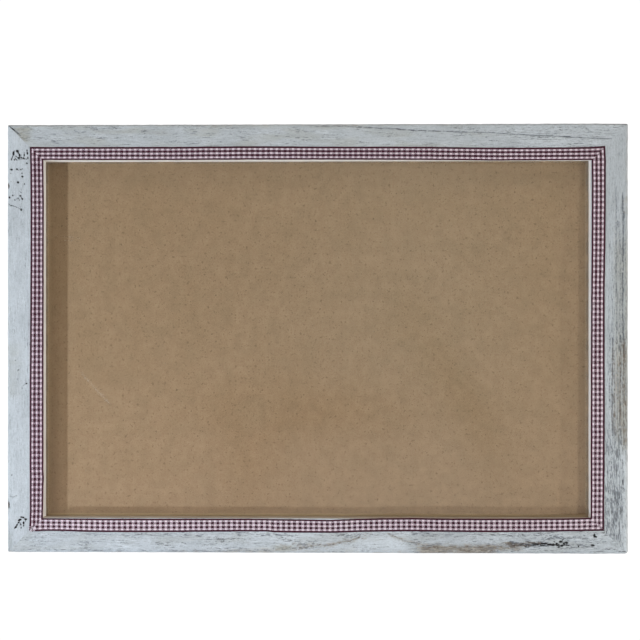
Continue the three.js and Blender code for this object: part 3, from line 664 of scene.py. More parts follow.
def paint_top(f):
    s, p, px, py = f["s"], f["p"], f["px"], f["py"]
    f["tone"] += 0.02 + 0.05 * smooth(px, 220, 260) * (1 - smooth(px, 400, 440))
    f["coarse"] += 0.24 + 0.5 * smooth(fbm(s / 18.0, p / 3.0, 74, 2), 0.42, 0.74) + 0.28 * smooth(px, 470, 540)
    f["stain"] += (0.10 + 0.32 * smooth(fbm(s / 26.0, p / 5.0, 75, 2), 0.42, 0.72)) * (1 - smooth(px, 440, 540)) * f["front"]
    f["wear"] += 0.10 * smooth(fbm(s / 30.0, p / 2.0, 73, 2), 0.45, 0.7) * f["front"]
    strew(f, "pit", 20, 127, 470, 146, 190, 7.0, 0.5, 0.30, 311)
    strew(f, "pit", 60, 127, 330, 146, 60, 12.0, 0.5, 0.34, 312)
    strew(f, "pit", 480, 128, 622, 146, 150, 3.4, 0.55, 0.36, 313, 0.3)
    strew(f, "pit", 405, 137, 470, 146, 46, 3.0, 0.6, 0.36, 314, 0.6)
    # open mitre at the left end
    stroke(f, "mark", [(8.6, 126.2), (11, 127.9), (14.2, 130.2)], 0.8, 0.75, 0.3)
    stroke(f, "pit", [(12, 128.6), (17, 132.6), (20, 135.4)], 1.2, 0.75, 0.4)
    stroke(f, "pit", [(18, 134), (23, 139.4), (27, 143.6)], 0.9, 0.30, 0.6)
    patch(f, "stain", 14, 127, 31, 142, 0.85, 5)
    patch(f, "wear", 14, 126, 27, 135, 0.36, 5)
    strew(f, "pit", 20, 130, 30, 142, 12, 3.0, 0.6, 0.42, 315, 0.5)
    for k, (x0, x1, y, n) in enumerate(((46, 57, 134.3, 7), (47, 56, 140.9, 6), (54, 66, 142.3, 6), (62, 72, 132.2, 5), (76, 90, 131.2, 5), (90, 118, 128.6, 8), (118, 146, 131, 7),
                                        (174, 196, 132.4, 10), (200, 214, 133.6, 8), (205, 214, 137.6, 6), (220, 236, 133.4, 8), (236, 252, 137.0, 9), (142, 162, 138.5, 5),
                                        (270, 300, 135.5, 6), (96, 112, 138.6, 4), (290, 316, 130.4, 5), (160, 176, 142.2, 4))):
        ticks(f, "pit", [(x0, y), (x1, y + 0.3)], n, 0.8, 5.0, 0.55, 0.62, 320 + k)
    dots(f, "pit", [(470, 134.5, 1.5, 0.9, 0.7), (486.5, 137, 1.7, 0.9, 0.7), (515, 136.8, 1.6, 0.8, 0.6)])
    # brown outer edge
    patch(f, "wear", 188, 121, 236, 127.6, 0.50, 8)
    patch(f, "wear", 236, 123, 258, 128.8, 0.40, 6)
    patch(f, "wear", 256, 121, 350, 126.8, 0.40, 8)
    ticks(f, "pit", [(196, 126.8), (232, 127.6), (258, 129.4), (285, 128.2)], 34, 0.6, 6.0, 0.55, 0.50, 345)
    ticks(f, "pit", [(300, 126.4), (350, 126.6)], 16, 0.4, 6.0, 0.6, 0.62, 346)
    # long open grain line
    main = [(334, 125.6), (370, 127.4), (400, 129), (412, 130), (437, 131), (460, 131.9), (490, 132.4), (515, 134.4), (537, 135.3), (567, 136.7), (590, 138), (612, 138.8)]
    stroke(f, "pit", main, 0.62, 0.66, 0.6)
    ticks(f, "pit", main, 80, 0.2, 8.0, 0.55, 0.78, 347, 0.03)
    ticks(f, "pit", main, 40, 1.5, 3.0, 0.5, 0.32, 348, 0.2)
    ticks(f, "mark", [(398, 129.0), (412, 130), (440, 131.1)], 9, 0.15, 6.0, 0.6, 0.52, 349, 0.03)
    ticks(f, "mark", [(502, 133.4), (515, 134.4), (545, 135.6), (572, 136.9)], 15, 0.15, 6.5, 0.6, 0.54, 350, 0.03)
    ticks(f, "pit", [(545, 132.8), (553, 133.4), (561, 132.8)], 7, 0.5, 5.0, 0.55, 0.55, 351)
    ticks(f, "pit", [(578, 132), (600, 133.5), (612, 134.6), (618, 136.4)], 14, 0.5, 5.0, 0.5, 0.48, 352)
    ticks(f, "pit", [(362, 131), (375, 133), (386, 133.6), (397, 135)], 14, 0.7, 5.0, 0.5, 0.45, 353)
    ticks(f, "pit", [(420, 136), (450, 137.4), (480, 138.4), (505, 138.8)], 16, 1.2, 5.0, 0.5, 0.36, 354)
    ticks(f, "pit", [(596, 139), (608, 143), (618, 148)], 16, 2.0, 3.5, 0.5, 0.38, 355, 0.8)


def paint_right(f):
    s, p, px, py = f["s"], f["p"], f["px"], f["py"]
    inner = smooth(px, 604, 616)
    low = smooth(py, 420, 480)
    rim = smooth(px, 622.8, 625.2) * smooth(py, 440, 480)  # the rounded outer edge stays smooth
    f["tone"] += np.interp(py, [125, 200, 240, 330, 380, 440, 480, 552], [-0.03, -0.04, -0.02, 0.01, 0.06, 0.03, 0.0, 0.02]) + 0.26 * rim
    f["coarse"] += np.interp(py, [125, 200, 260, 340, 400, 460, 500, 545], [0.30, 0.36, 0.5, 0.6, 0.75, 0.85, 0.95, 0.85]) * (0.5 + 0.5 * np.maximum(inner, low)) * (1 - 0.6 * rim)
    f["wear"] += (0.06 + 0.36 * smooth(py, 325, 360) * (1 - smooth(py, 420, 450)) * inner) * f["front"]
    outer = smooth(px, 611, 618) * smooth(py, 215, 262) * (1 - smooth(py, 430, 462)) * f["front"]
    f["stain"] += 0.48 * outer
    f["wear"] += 0.20 * outer * smooth(fbm(s / 16.0, p / 1.3, 411, 2), 0.40, 0.70)
    strew(f, "pit", 606, 146, 627, 345, 150, 7.0, 0.5, 0.38, 401)
    strew(f, "pit", 612, 205, 627, 345, 90, 14.0, 0.5, 0.50, 431, 0.02)
    strew(f, "pit", 606, 225, 618, 345, 60, 5.0, 0.55, 0.52, 432, 0.06)
    strew(f, "pit", 604, 150, 612, 330, 40, 3.0, 0.5, 0.30, 402)
    ticks(f, "pit", [(616.6, 190), (616.2, 250), (616.4, 330)], 30, 0.6, 12.0, 0.6, 0.62, 403, 0.03)
    ticks(f, "pit", [(623.2, 195), (622.6, 260), (622.9, 342)], 46, 0.6, 11.0, 0.75, 0.78, 404, 0.03)
    ticks(f, "pit", [(619.8, 215), (620.0, 280), (620.4, 345)], 30, 0.8, 9.0, 0.6, 0.60, 405, 0.03)
    ticks(f, "pit", [(625.4, 128), (625.1, 170), (625.3, 215)], 12, 0.3, 10.0, 0.5, 0.36, 406, 0.03)
    for k, (x, y0, y1, a) in enumerate(((616.4, 200, 345, 0.62), (619.9, 222, 350, 0.56), (623.0, 192, 352, 0.80), (612.6, 250, 350, 0.50), (625.6, 235, 345, 0.55), (608.8, 285, 352, 0.42),
                                        (609.6, 335, 410, 0.60), (612.4, 338, 436, 0.76), (614.6, 350, 430, 0.60), (617.3, 360, 440, 0.56), (620.4, 335, 430, 0.78), (623.6, 334, 446, 0.76), (626.0, 345, 436, 0.60))):
        ys = np.linspace(y0, y1, 9)
        stroke(f, "pit", [(x + 0.5 * math.sin(0.045 * yy + 1.7 * k), yy) for yy in ys], 0.62, a, 0.85)
    patch(f, "wear", 623, 196, 630, 214, 0.6, 3)
    # open grain in the middle part
    for k, (x, y0, y1, n, a) in enumerate(((609.5, 335, 405, 14, 0.56), (612.4, 340, 435, 26, 0.74), (614.4, 356, 425, 14, 0.58), (620.4, 335, 428, 26, 0.74),
                                           (623.6, 332, 445, 30, 0.72), (626.2, 346, 435, 18, 0.56), (617.2, 366, 442, 14, 0.46), (607.0, 350, 430, 10, 0.40))):
        ticks(f, "pit", [(x, y0), (x + 0.7 * math.sin(x), (y0 + y1) / 2), (x + 0.2, y1)], n, 0.6, 11.0, 0.55, a * 1.05, 410 + k, 0.02)
    ticks(f, "mark", [(612.4, 346), (612.6, 400)], 6, 0.4, 7.0, 0.6, 0.40, 421, 0.03)
    ticks(f, "mark", [(623.6, 340), (623.8, 425)], 8, 0.5, 7.0, 0.6, 0.40, 422, 0.03)
    ticks(f, "mark", [(620.3, 340), (620.6, 405)], 7, 0.4, 7.0, 0.6, 0.40, 423, 0.03)
    # short dense strokes below
    strew(f, "pit", 605, 335, 627, 440, 150, 5.0, 0.5, 0.50, 433, 0.06)
    strew(f, "pit", 606, 428, 624, 546, 330, 5.5, 0.55, 0.70, 424, 0.09)
    strew(f, "pit", 606, 428, 624, 540, 60, 10.0, 0.6, 0.66, 425, 0.05)
    strew(f, "pit", 607, 490, 622, 545, 80, 5.0, 0.6, 0.80, 426, 0.14)
    ticks(f, "pit", [(609, 536), (614, 543), (621, 549)], 30, 1.8, 5.0, 0.55, 0.52, 427, 0.5)
    patch(f, "wear", 622, 428, 630, 450, 0.7, 3)
    stroke(f, "mark", [(622.8, 480), (623.4, 487), (623.0, 493)], 0.8, 0.5, 0.5)
    ticks(f, "mark", [(612, 450), (615, 500), (616, 540)], 14, 3.0, 4.0, 0.55, 0.36, 428, 0.08)
    dots(f, "pit", [(619.8, 139, 0.7, 2.4, 0.5), (621.6, 140.5, 0.7, 2.2, 0.4)])


def paint_bottom(f):
    s, p, px, py = f["s"], f["p"], f["px"], f["py"]
    under = smooth(px, 350, 366) * (1 - smooth(px, 398, 412)) * smooth(py, 533, 541)  # pale ground inside the arch
    f["tone"] += 0.04 + 0.10 * under + 0.18 * smooth(px, 220, 260) * (1 - smooth(px, 400, 430)) + 0.04 * smooth(px, 430, 470)
    f["coarse"] += 0.40 + 0.55 * smooth(fbm(s / 20.0, p / 3.0, 134, 2), 0.40, 0.72) - 0.20 * (1 - smooth(px, 50, 90)) - 0.3 * under
    f["stain"] += 0.22 * smooth(fbm(s / 24.0, p / 5.0, 135, 2), 0.45, 0.75) * f["front"]
    strew(f, "pit", 20, 533, 345, 551, 260, 7.0, 0.5, 0.40, 501)
    strew(f, "pit", 410, 533, 605, 551, 170, 7.0, 0.5, 0.40, 502)
    # grey dashes under the ribbon and along the lower edge
    for k, (x0, x1, y, n, a) in enumerate(((60, 95, 533.6, 8, 0.40), (92, 122, 535.0, 12, 0.50), (118, 136, 536.6, 12, 0.62), (140, 170, 535.4, 14, 0.55), (184, 204, 536, 14, 0.64),
                                           (204, 226, 535, 8, 0.5), (236, 258, 533.6, 14, 0.66), (260, 287, 535, 22, 0.74), (290, 328, 535, 10, 0.42), (86, 130, 550.5, 24, 0.62),
                                           (136, 158, 549.5, 10, 0.52), (158, 190, 551.0, 16, 0.58), (194, 210, 550.6, 8, 0.56), (224, 250, 547.0, 10, 0.52), (14, 60, 545.8, 12, 0.36),
                                           (56, 92, 547.6, 10, 0.36), (30, 40, 537, 5, 0.5), (248, 274, 545.0, 10, 0.48), (300, 322, 538.6, 7, 0.40), (410, 438, 533.9, 16, 0.66),
                                           (436, 458, 535.2, 12, 0.62), (462, 482, 533.8, 10, 0.58))):
        ticks(f, "pit", [(x0, y), (x1, y + 0.3)], n, 0.75, 6.0, 0.6, a, 510 + k)
    patch(f, "wear", 232, 548.6, 276, 556, 0.66, 6)
    patch(f, "wear", 168, 549.6, 240, 556, 0.55, 8)
    patch(f, "wear", 276, 549.8, 424, 556, 0.52, 8)
    patch(f, "stain", 272, 545, 294, 553, 0.55, 5)
    # arched grain
    left = [(280, 550.0), (296, 546.8), (312, 546.2), (330, 545.0), (343, 542.0), (356, 538.8), (368, 535.4), (372, 534)]
    stroke(f, "wear", [(300, 547.4), (316, 546.2), (330, 545.0), (343, 542.0), (350, 540.4)], 2.0, 0.66, 0.6)
    ticks(f, "wear", left, 70, 1.7, 6.0, 1.1, 0.62, 540, 0.12)
    ticks(f, "wear", [(276, 549), (300, 547.4), (322, 545.6)], 40, 2.0, 5.0, 1.2, 0.60, 546, 0.2)
    ticks(f, "pit", left, 70, 1.0, 4.0, 0.55, 0.60, 541, 0.2)
    ticks(f, "pit", [(292, 545.4), (318, 543.6)], 26, 1.3, 3.0, 0.6, 0.60, 542, 0.4)
    ticks(f, "mark", [(296, 544.8), (314, 543.8)], 7, 1.0, 2.6, 0.6, 0.42, 543, 0.4)
    ticks(f, "pit", [(341, 539), (360, 535.4)], 34, 1.6, 3.0, 0.6, 0.62, 544, 0.3)
    ticks(f, "mark", [(342, 539), (358, 536)], 9, 1.4, 2.6, 0.6, 0.44, 545, 0.3)
    for k in range(8):
        w0, top = 5.0 + 4.0 * k, 549.6 - 2.0 * k
        arc = [(384 + w0 * a, top + (6.0 + 0.3 * k) * abs(a) ** 2.2 + 0.5 * k * abs(a)) for a in np.linspace(-1, 1, 9)]
        ticks(f, "pit", arc, 9 + 2 * k, 0.7, 2.6, 0.5, 0.38, 550 + k, 0.6)
    right = [(388, 533.4), (396, 537.4), (408, 541.6), (424, 544.8), (446, 546.2), (470, 546.6), (492, 546.8)]
    stroke(f, "wear", right, 1.5, 0.60, 0.6)
    ticks(f, "wear", right, 70, 1.5, 6.0, 1.0, 0.62, 560, 0.08)
    ticks(f, "pit", right, 64, 0.7, 4.5, 0.55, 0.55, 561, 0.12)
    ticks(f, "pit", [(389, 533.6), (404, 540.4)], 16, 0.7, 3.0, 0.6, 0.62, 562, 0.2)
    # brown band
    patch(f, "wear", 416, 544.6, 498, 556, 0.98, 7)
    patch(f, "wear", 492, 543.5, 524, 552, 0.70, 8)
    strew(f, "pit", 424, 545, 500, 552, 120, 8.0, 0.5, 0.60, 563, 0.06)
    strew(f, "pit", 486, 541, 520, 549, 40, 6.0, 0.55, 0.56, 564, 0.08)
    # a dark streak and black specks near the right end
    ticks(f, "wear", [(504, 545), (524, 544.4), (548, 544.2)], 26, 1.5, 9.0, 1.0, 0.62, 565, 0.05)
    ticks(f, "pit", [(510, 544.2), (526, 544.8), (548, 544.0)], 90, 1.3, 6.5, 0.65, 0.92, 566, 0.06)
    ticks(f, "mark", [(510, 544.6), (530, 544.4), (550, 544)], 44, 1.3, 5.0, 0.6, 0.58, 567, 0.08)
    ticks(f, "mark", [(534, 544.6), (549, 544)], 14, 0.8, 6.0, 0.7, 0.74, 574, 0.06)
    strew(f, "pit", 500, 535, 606, 550, 190, 5.0, 0.55, 0.62, 568, 0.14)
    ticks(f, "pit", [(544, 539.6), (556, 537.4), (566, 538.6)], 30, 1.2, 4.0, 0.65, 0.68, 569, 0.15)
    ticks(f, "pit", [(574, 537.6), (588, 539.4)], 18, 1.4, 4.0, 0.6, 0.60, 570, 0.15)
    ticks(f, "mark", [(550, 545.2), (560, 543.4), (569, 542.2)], 20, 1.5, 3.4, 0.75, 0.75, 571, 0.5)
    dots(f, "mark", [(553.2, 544.9, 1.8, 1.2, 1.0), (556.6, 543.6, 1.2, 1.0, 0.9), (560.8, 541.8, 2.0, 1.1, 1.0), (563.8, 543.4, 1.3, 1.2, 0.95), (561.6, 545.8, 1.8, 1.0, 0.95),
                     (566.6, 542.6, 1.3, 1.4, 1.0), (558.6, 547.4, 2.6, 0.8, 0.6), (594.4, 535.6, 1.2, 1.9, 1.0), (596, 537.0, 1.3, 1.0, 0.9), (592.8, 545.3, 2.0, 0.9, 0.95),
                     (578.4, 546.5, 1.1, 0.9, 0.8), (35.2, 537, 1.8, 0.8, 0.45), (548.6, 538.6, 1.4, 0.9, 0.6)], 0.5)
    # the joints at the ends
    ticks(f, "pit", [(604, 535.5), (613, 543.8), (622, 552)], 14, 0.5, 5.0, 0.5, 0.44, 572, 0.1)
    ticks(f, "pit", [(9, 551.6), (13, 546.6), (17, 542.6)], 8, 0.3, 4.0, 0.5, 0.40, 573, 0.1)


PAINTERS = {"left": paint_left, "top": paint_top, "right": paint_right, "bottom": paint_bottom}


def build_rail(side, material):
    spec = RAILS[side]
    w, arris, seed = spec["w"], spec["arris"], spec["seed"]
    along_x = side in ("top", "bottom")
    length = W if along_x else H
    near, far = ("left", "right") if along_x else ("bottom", "top")
    out = spec["out"]
    pts, zones = rail_section(w, arris, REBATE_U + out, spec["taper"])
    m = len(pts)
    nxt, prv = np.roll(pts, -1, 0), np.roll(pts, 1, 0)
    tan = nxt - prv
    tan /= np.linalg.norm(tan, axis=1)[:, None]
    nor = np.stack([tan[:, 1], -tan[:, 0]], 1)
    seg = np.linalg.norm(nxt - pts, axis=1)
    run = np.concatenate([[0], np.cumsum(seg)])
    p = arris + run[:-1]
    back_off = (zones == SIDE) | (zones == ARRIS)
    p[back_off] -= run[-1]
    p_next = np.roll(p, -1)
    seam = np.abs(p_next - p) > seg + 1e-6
    p_next[seam] = p[seam] + seg[seam]

    n = int(length / 0.40)
    n = n if n % 2 else n + 1
    t = np.linspace(0.0, 1.0, n)[:, None]
    u = pts[:, 0][None, :] + np.zeros((n, 1))
    y = pts[:, 1][None, :] + np.zeros((n, 1))
    s_lo, s_hi = -length / 2 - RAILS[near]["out"], length / 2 + RAILS[far]["out"]
    for end, other in ((0, near), (1, far)):
        q = rail_section(w, (arris + RAILS[other]["arris"]) / 2, REBATE_U + out, spec["taper"])[0]
        k = smooth(np.abs(t - end) * length, 26.0, 2.0)
        u = u * (1 - k) + q[:, 0][None, :] * k
        y = y * (1 - k) + q[:, 1][None, :] * k
    deep = np.where(zones == LIP, np.clip((pts[:, 1] + T - 0.4) / (SHOULDER_Y + T - 0.4), 0, 1), 0.0)
    sill = (zones == BARE) & (np.abs(pts[:, 1] - SHOULDER_Y) < 1e-6)
    deep = np.where(sill, np.clip((pts[:, 0] - REBATE_U - out) / (w + spec["taper"] - REBATE_U - out), 0, 1), deep)[None, :]
    lo = s_lo + u * (RAILS[near]["w"] / w) + GAP[frozenset((side, near))]
    lo = lo + deep * (RAILS[near]["taper"] - spec["taper"] * RAILS[near]["w"] / w)
    hi = s_hi - u * (RAILS[far]["w"] / w) - GAP[frozenset((side, far))]
    hi = hi - deep * (RAILS[far]["taper"] - spec["taper"] * RAILS[far]["w"] / w)
    s = lo * (1 - t) + hi * t
    pp = p[None, :] + np.zeros((n, 1))
    facing = np.clip(-nor[:, 1], 0, 1)[None, :] + np.zeros((n, 1))
    zz = zones[None, :] + np.zeros((n, 1), int)
    front = np.where((zz == FACE) | (zz == ARRIS), np.sqrt(facing), 0.0)

    def place(s_, u_):
        if side == "top":
            return s_, H / 2 + out - u_
        if side == "bottom":
            return s_, -H / 2 - out + u_
        if side == "left":
            return -W / 2 - out + u_, s_
        return W / 2 + out - u_, s_

    x, z = place(s, u)
    px, py = to_picture(x, y, z)
    f = dict(px=px, py=py, s=s, u=u, p=pp, front=front, seed=seed, flat=along_x, mid=(px if along_x else py)[:, 20])
    f["pw"] = pp + 1.6 * (fbm(s / 55.0, pp / 9.0, seed + 1, 2) - 0.5) + 0.25 * (noise(s / 9.0, pp / 3.0, seed + 2) - 0.5)
    for key in ("mark", "pit", "wear", "stain", "tone", "coarse"):
        f[key] = np.zeros((n, m))
    PAINTERS[side](f)
    # the side faces carry the same sort of grain, a little more worn on the edges
    on_side = ((zz == SIDE) | (zz == ARRIS)).astype(float) * (1 - 0.8 * front)
    f["pit"] = np.maximum(f["pit"], on_side * 0.52 * smooth(fbm(s / 12.0, f["pw"] / 0.6, seed + 3, 3), 0.62, 0.80) * smooth(fbm(s / 30.0, pp / 5.0, seed + 4, 2), 0.36, 0.62))
    f["wear"] = np.maximum(f["wear"], on_side * 0.42 * smooth(fbm(s / 26.0, pp / 3.0, seed + 5, 2), 0.45, 0.72))
    edge_wear = np.where(zz == ARRIS, 1.0, 0.0) * smooth(fbm(s / 9.0, pp / 2.0, seed + 6, 3), 0.60, 0.78)
    f["wear"] = np.maximum(f["wear"], 0.55 * edge_wear)
    dark_bits = np.where((zz == SIDE) | (zz == ARRIS), 1.0, 0.0) * (1 - front) * smooth(fbm(s / 1.6, pp / 1.3, seed + 8, 2), 0.80, 0.90)
    f["mark"] = np.maximum(f["mark"], 0.8 * dark_bits)
    bare = np.select([zz == BARE, zz == BACK, zz == LIP], [0.95, 1.0, 0.0], 0.0).astype(float)
    bare = np.where((zz == SIDE), np.clip(1.0 - (-y - 0.0) / 2.6, 0, 1) * 0.55, bare)
    lip = np.where(zz == LIP, np.clip((y + T) / 0.5, 0, 1), 0.0)

    # relief: grain grooves, nicks, worn hollows, slow wander of the faces
    painted = np.where((zz == FACE) | (zz == ARRIS) | (zz == SIDE), 1.0, 0.0)
    d = -0.10 * f["pit"] - 0.16 * np.clip(f["mark"], 0, 1) - 0.05 * np.clip(f["wear"], 0, 1)
    d = d + painted * 0.05 * (fbm(s / 7.0, f["pw"] / 0.8, seed + 12, 3) - 0.5)
    d = d + painted * 0.16 * (fbm(s / 40.0, pp / 12.0, seed + 13, 2) - 0.5)
    d = d + np.where((zz == ARRIS) | (zz == SIDE), 1.0, 0.0) * 0.22 * (fbm(s / 5.0, pp / 3.0, seed + 14, 3) - 0.55)
    d = d + np.where(zz == BACK, 1.0, 0.0) * 0.05 * (fbm(s / 9.0, pp / 0.9, seed + 16, 3) - 0.6)
    d = np.where(zz == LIP, 0.07 * (fbm(s / 5.0, pp / 2.5, seed + 17, 2) - 0.5), d)
    d = np.where(zz == BARE, 0.0, d)
    d = np.minimum(d, 0.06)
    ends = smooth(np.minimum(s - lo, hi - s), 0.0, 1.2)
    d = d * (0.25 + 0.75 * ends)
    uu = u + d * nor[:, 0][None, :]
    yy = y + d * nor[:, 1][None, :]
    x, z = place(s, uu)
    for corner, r in CORNER_R.items():
        sx = -1 if "left" in corner else 1
        sz = -1 if "bottom" in corner else 1
        hw = W / 2 + RAILS["left" if sx < 0 else "right"]["out"] - r
        hh = H / 2 + RAILS["bottom" if sz < 0 else "top"]["out"] - r
        a, b = x * sx - hw, z * sz - hh
        hit = (a > 0) & (b > 0)
        k = np.where(hit, np.maximum(a, b) / np.maximum(np.hypot(a, b), 1e-9), 1.0)
        x = np.where(hit, sx * (hw + a * k), x)
        z = np.where(hit, sz * (hh + b * k), z)
    verts = np.stack([x, yy, z], -1).reshape(-1, 3)
    quads = grid_quads(n, m, True)
    caps = [list(range(m)), list(range((n - 1) * m, n * m))[::-1]]
    ob, turned = mesh_object("rail_%s_wood" % side, verts, quads, caps, sharp=40)
    # grain coordinates on the face corners, so the seam along the rear edge stays clean
    i = np.repeat(np.arange(n - 1), m)
    j = np.tile(np.arange(m), n - 1)
    k = (j + 1) % m
    off = seed * 13.7
    cs = np.stack([s[i, j], s[i + 1, j], s[i + 1, k], s[i, k]], 1)
    cp = np.stack([p[j], p[j], p_next[j], p_next[j]], 1)
    if turned:
        cs, cp = cs[:, ::-1], cp[:, ::-1]
    quad_co = np.stack([cs, cp, np.full_like(cs, off)], -1).reshape(-1, 3)
    cap_co = []
    for c, row in zip(caps, (0, n - 1)):
        idx = (np.asarray(c)[::-1] if turned else np.asarray(c)) % m
        cap_co.append(np.stack([pts[idx, 1], pts[idx, 0], np.full(m, off + 5.0)], -1))
    corner_vectors(ob, "grain_co", np.concatenate([quad_co] + cap_co))
    point_floats(ob, mark=np.clip(f["mark"], 0, 1), pit=np.clip(f["pit"], 0, 1), wear=np.clip(f["wear"], 0, 1), stain=np.clip(f["stain"], 0, 1),
                 tone=f["tone"], coarse=np.clip(f["coarse"], 0, 1.5), bare=bare, lip=lip, lip_tone=np.full((n, m), spec["lip"]))
    ob.data.materials.append(material)
    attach(ob, "frame")
    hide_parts("rail_" + side)
    return ob


# ------------------------------------------------------------------ ribbon strips
# Edges of each strip in picture points: (along, outer edge, inner edge); checks: period and first white, in pixels.
RIBBONS = {
    "top": dict(
        outer=[(29.6, 147.7), (100, 147.7), (170, 147.6), (205, 147.3), (250, 146.9), (330, 147.3), (420, 147.4), (490, 148.3), (520, 148.3), (560, 148.1), (590, 147.7), (605.2, 146.6)],
        inner=[(42.8, 159.6), (110, 159.7), (170, 159.7), (250, 159.2), (330, 159.2), (420, 159.5), (490, 160.2), (545, 160.0), (592, 159.7)],
        period=5.444, first=4.6, soil=0.58, lie=(0.74, 0.84)),
    "bottom": dict(
        outer=[(30.2, 530.7), (45, 530.3), (60, 530.3), (85, 531.2), (110, 531.5), (170, 531.5), (200, 531.2), (240, 530.9), (268, 530.9), (274, 531.7), (300, 532.0), (332, 532.2), (366, 531.2), (410, 530.7), (445, 531.2), (490, 531.6), (545, 531.2), (570, 530.7), (604.4, 530.2)],
        inner=[(42.2, 518.6), (100, 519.2), (170, 519.2), (250, 519.1), (280, 519.5), (330, 520.3), (345, 519.6), (380, 518.7), (410, 518.4), (450, 519.0), (530, 519.1), (570, 518.8), (591.2, 518.1)],
        period=5.472, first=1.8, soil=0.45, lie=(0.16, 0.22)),
    "left": dict(
        outer=[(146.9, 30.5), (165, 30.9), (200, 31.2), (260, 31.2), (340, 30.7), (400, 30.3), (470, 30.4), (510, 30.5), (524, 30.1), (530.7, 29.7)],
        inner=[(159.6, 42.9), (200, 43.4), (280, 43.2), (340, 43.1), (400, 43.0), (470, 43.0), (478, 43.4), (486, 43.0), (505, 42.7), (518.3, 42.3)],
        period=5.326, first=2.5, soil=0.82, lie=(0.76, 0.48)),
    "right": dict(
        outer=[(145.8, 604.4), (160, 605.2), (200, 605.1), (250, 604.7), (290, 604.0), (340, 604.0), (430, 604.1), (500, 603.6), (530.2, 603.4)],
        inner=[(159.7, 592.1), (180, 592.4), (240, 592.2), (300, 591.6), (340, 591.4), (430, 591.2), (500, 591.1), (517.8, 591.0)],
        period=5.343, first=1.8, soil=0.56, lie=(0.80, 0.34)),
}


def loose_yarns(count, at, spread, heading, seed):
    """Frayed ends at a corner: thin four-sided yarns from picture points, as vertices in mm, quads and a light or dark flag per vertex."""
    rng = np.random.default_rng(seed)
    t = np.linspace(0, 1, 8)
    verts, quads, dark = [], [], []
    for k in range(count):
        turn = np.radians(heading + rng.uniform(-50, 50)) + rng.uniform(-1.1, 1.1) * t
        step = rng.uniform(1.6, 3.8) / 7
        px = at[0] + spread[0] * rng.uniform(-1, 1) + np.concatenate([[0], np.cumsum(np.cos(turn[:-1]) * step)])
        py = at[1] + spread[1] * rng.uniform(-1, 1) + np.concatenate([[0], np.cumsum(np.sin(turn[:-1]) * step)])
        x, z = from_picture(px, py, -14.3)
        path = np.stack([x, -14.38 - rng.uniform(0.0, 0.22) - 0.12 * np.sin(math.pi * t) + 0.16 * t ** 2, z], -1)
        d = np.gradient(path, axis=0)
        d = d / np.linalg.norm(d, axis=1, keepdims=True)
        s = np.cross(d, (0.0, 1.0, 0.0))
        s = s / np.linalg.norm(s, axis=1, keepdims=True)
        w = np.cross(s, d)
        r = (0.10 * (1 - 0.45 * t))[:, None]
        base = 32 * k
        verts.append(np.stack([path + r * s, path + r * w, path - r * s, path - r * w], 1).reshape(-1, 3))
        quads.append(np.concatenate([grid_quads(8, 4, True), [[3, 2, 1, 0], [28, 29, 30, 31]]]) + base)
        dark.append(np.full(32, 1.0 if k % 4 == 3 else 0.0))
    return np.concatenate(verts), np.concatenate(quads), np.concatenate(dark)


def enclosed(verts, quads):
    tri = np.concatenate([quads[:, [0, 1, 2]], quads[:, [0, 2, 3]]])
    return np.einsum("ij,ij->", verts[tri[:, 0]], np.cross(verts[tri[:, 1]], verts[tri[:, 2]]))


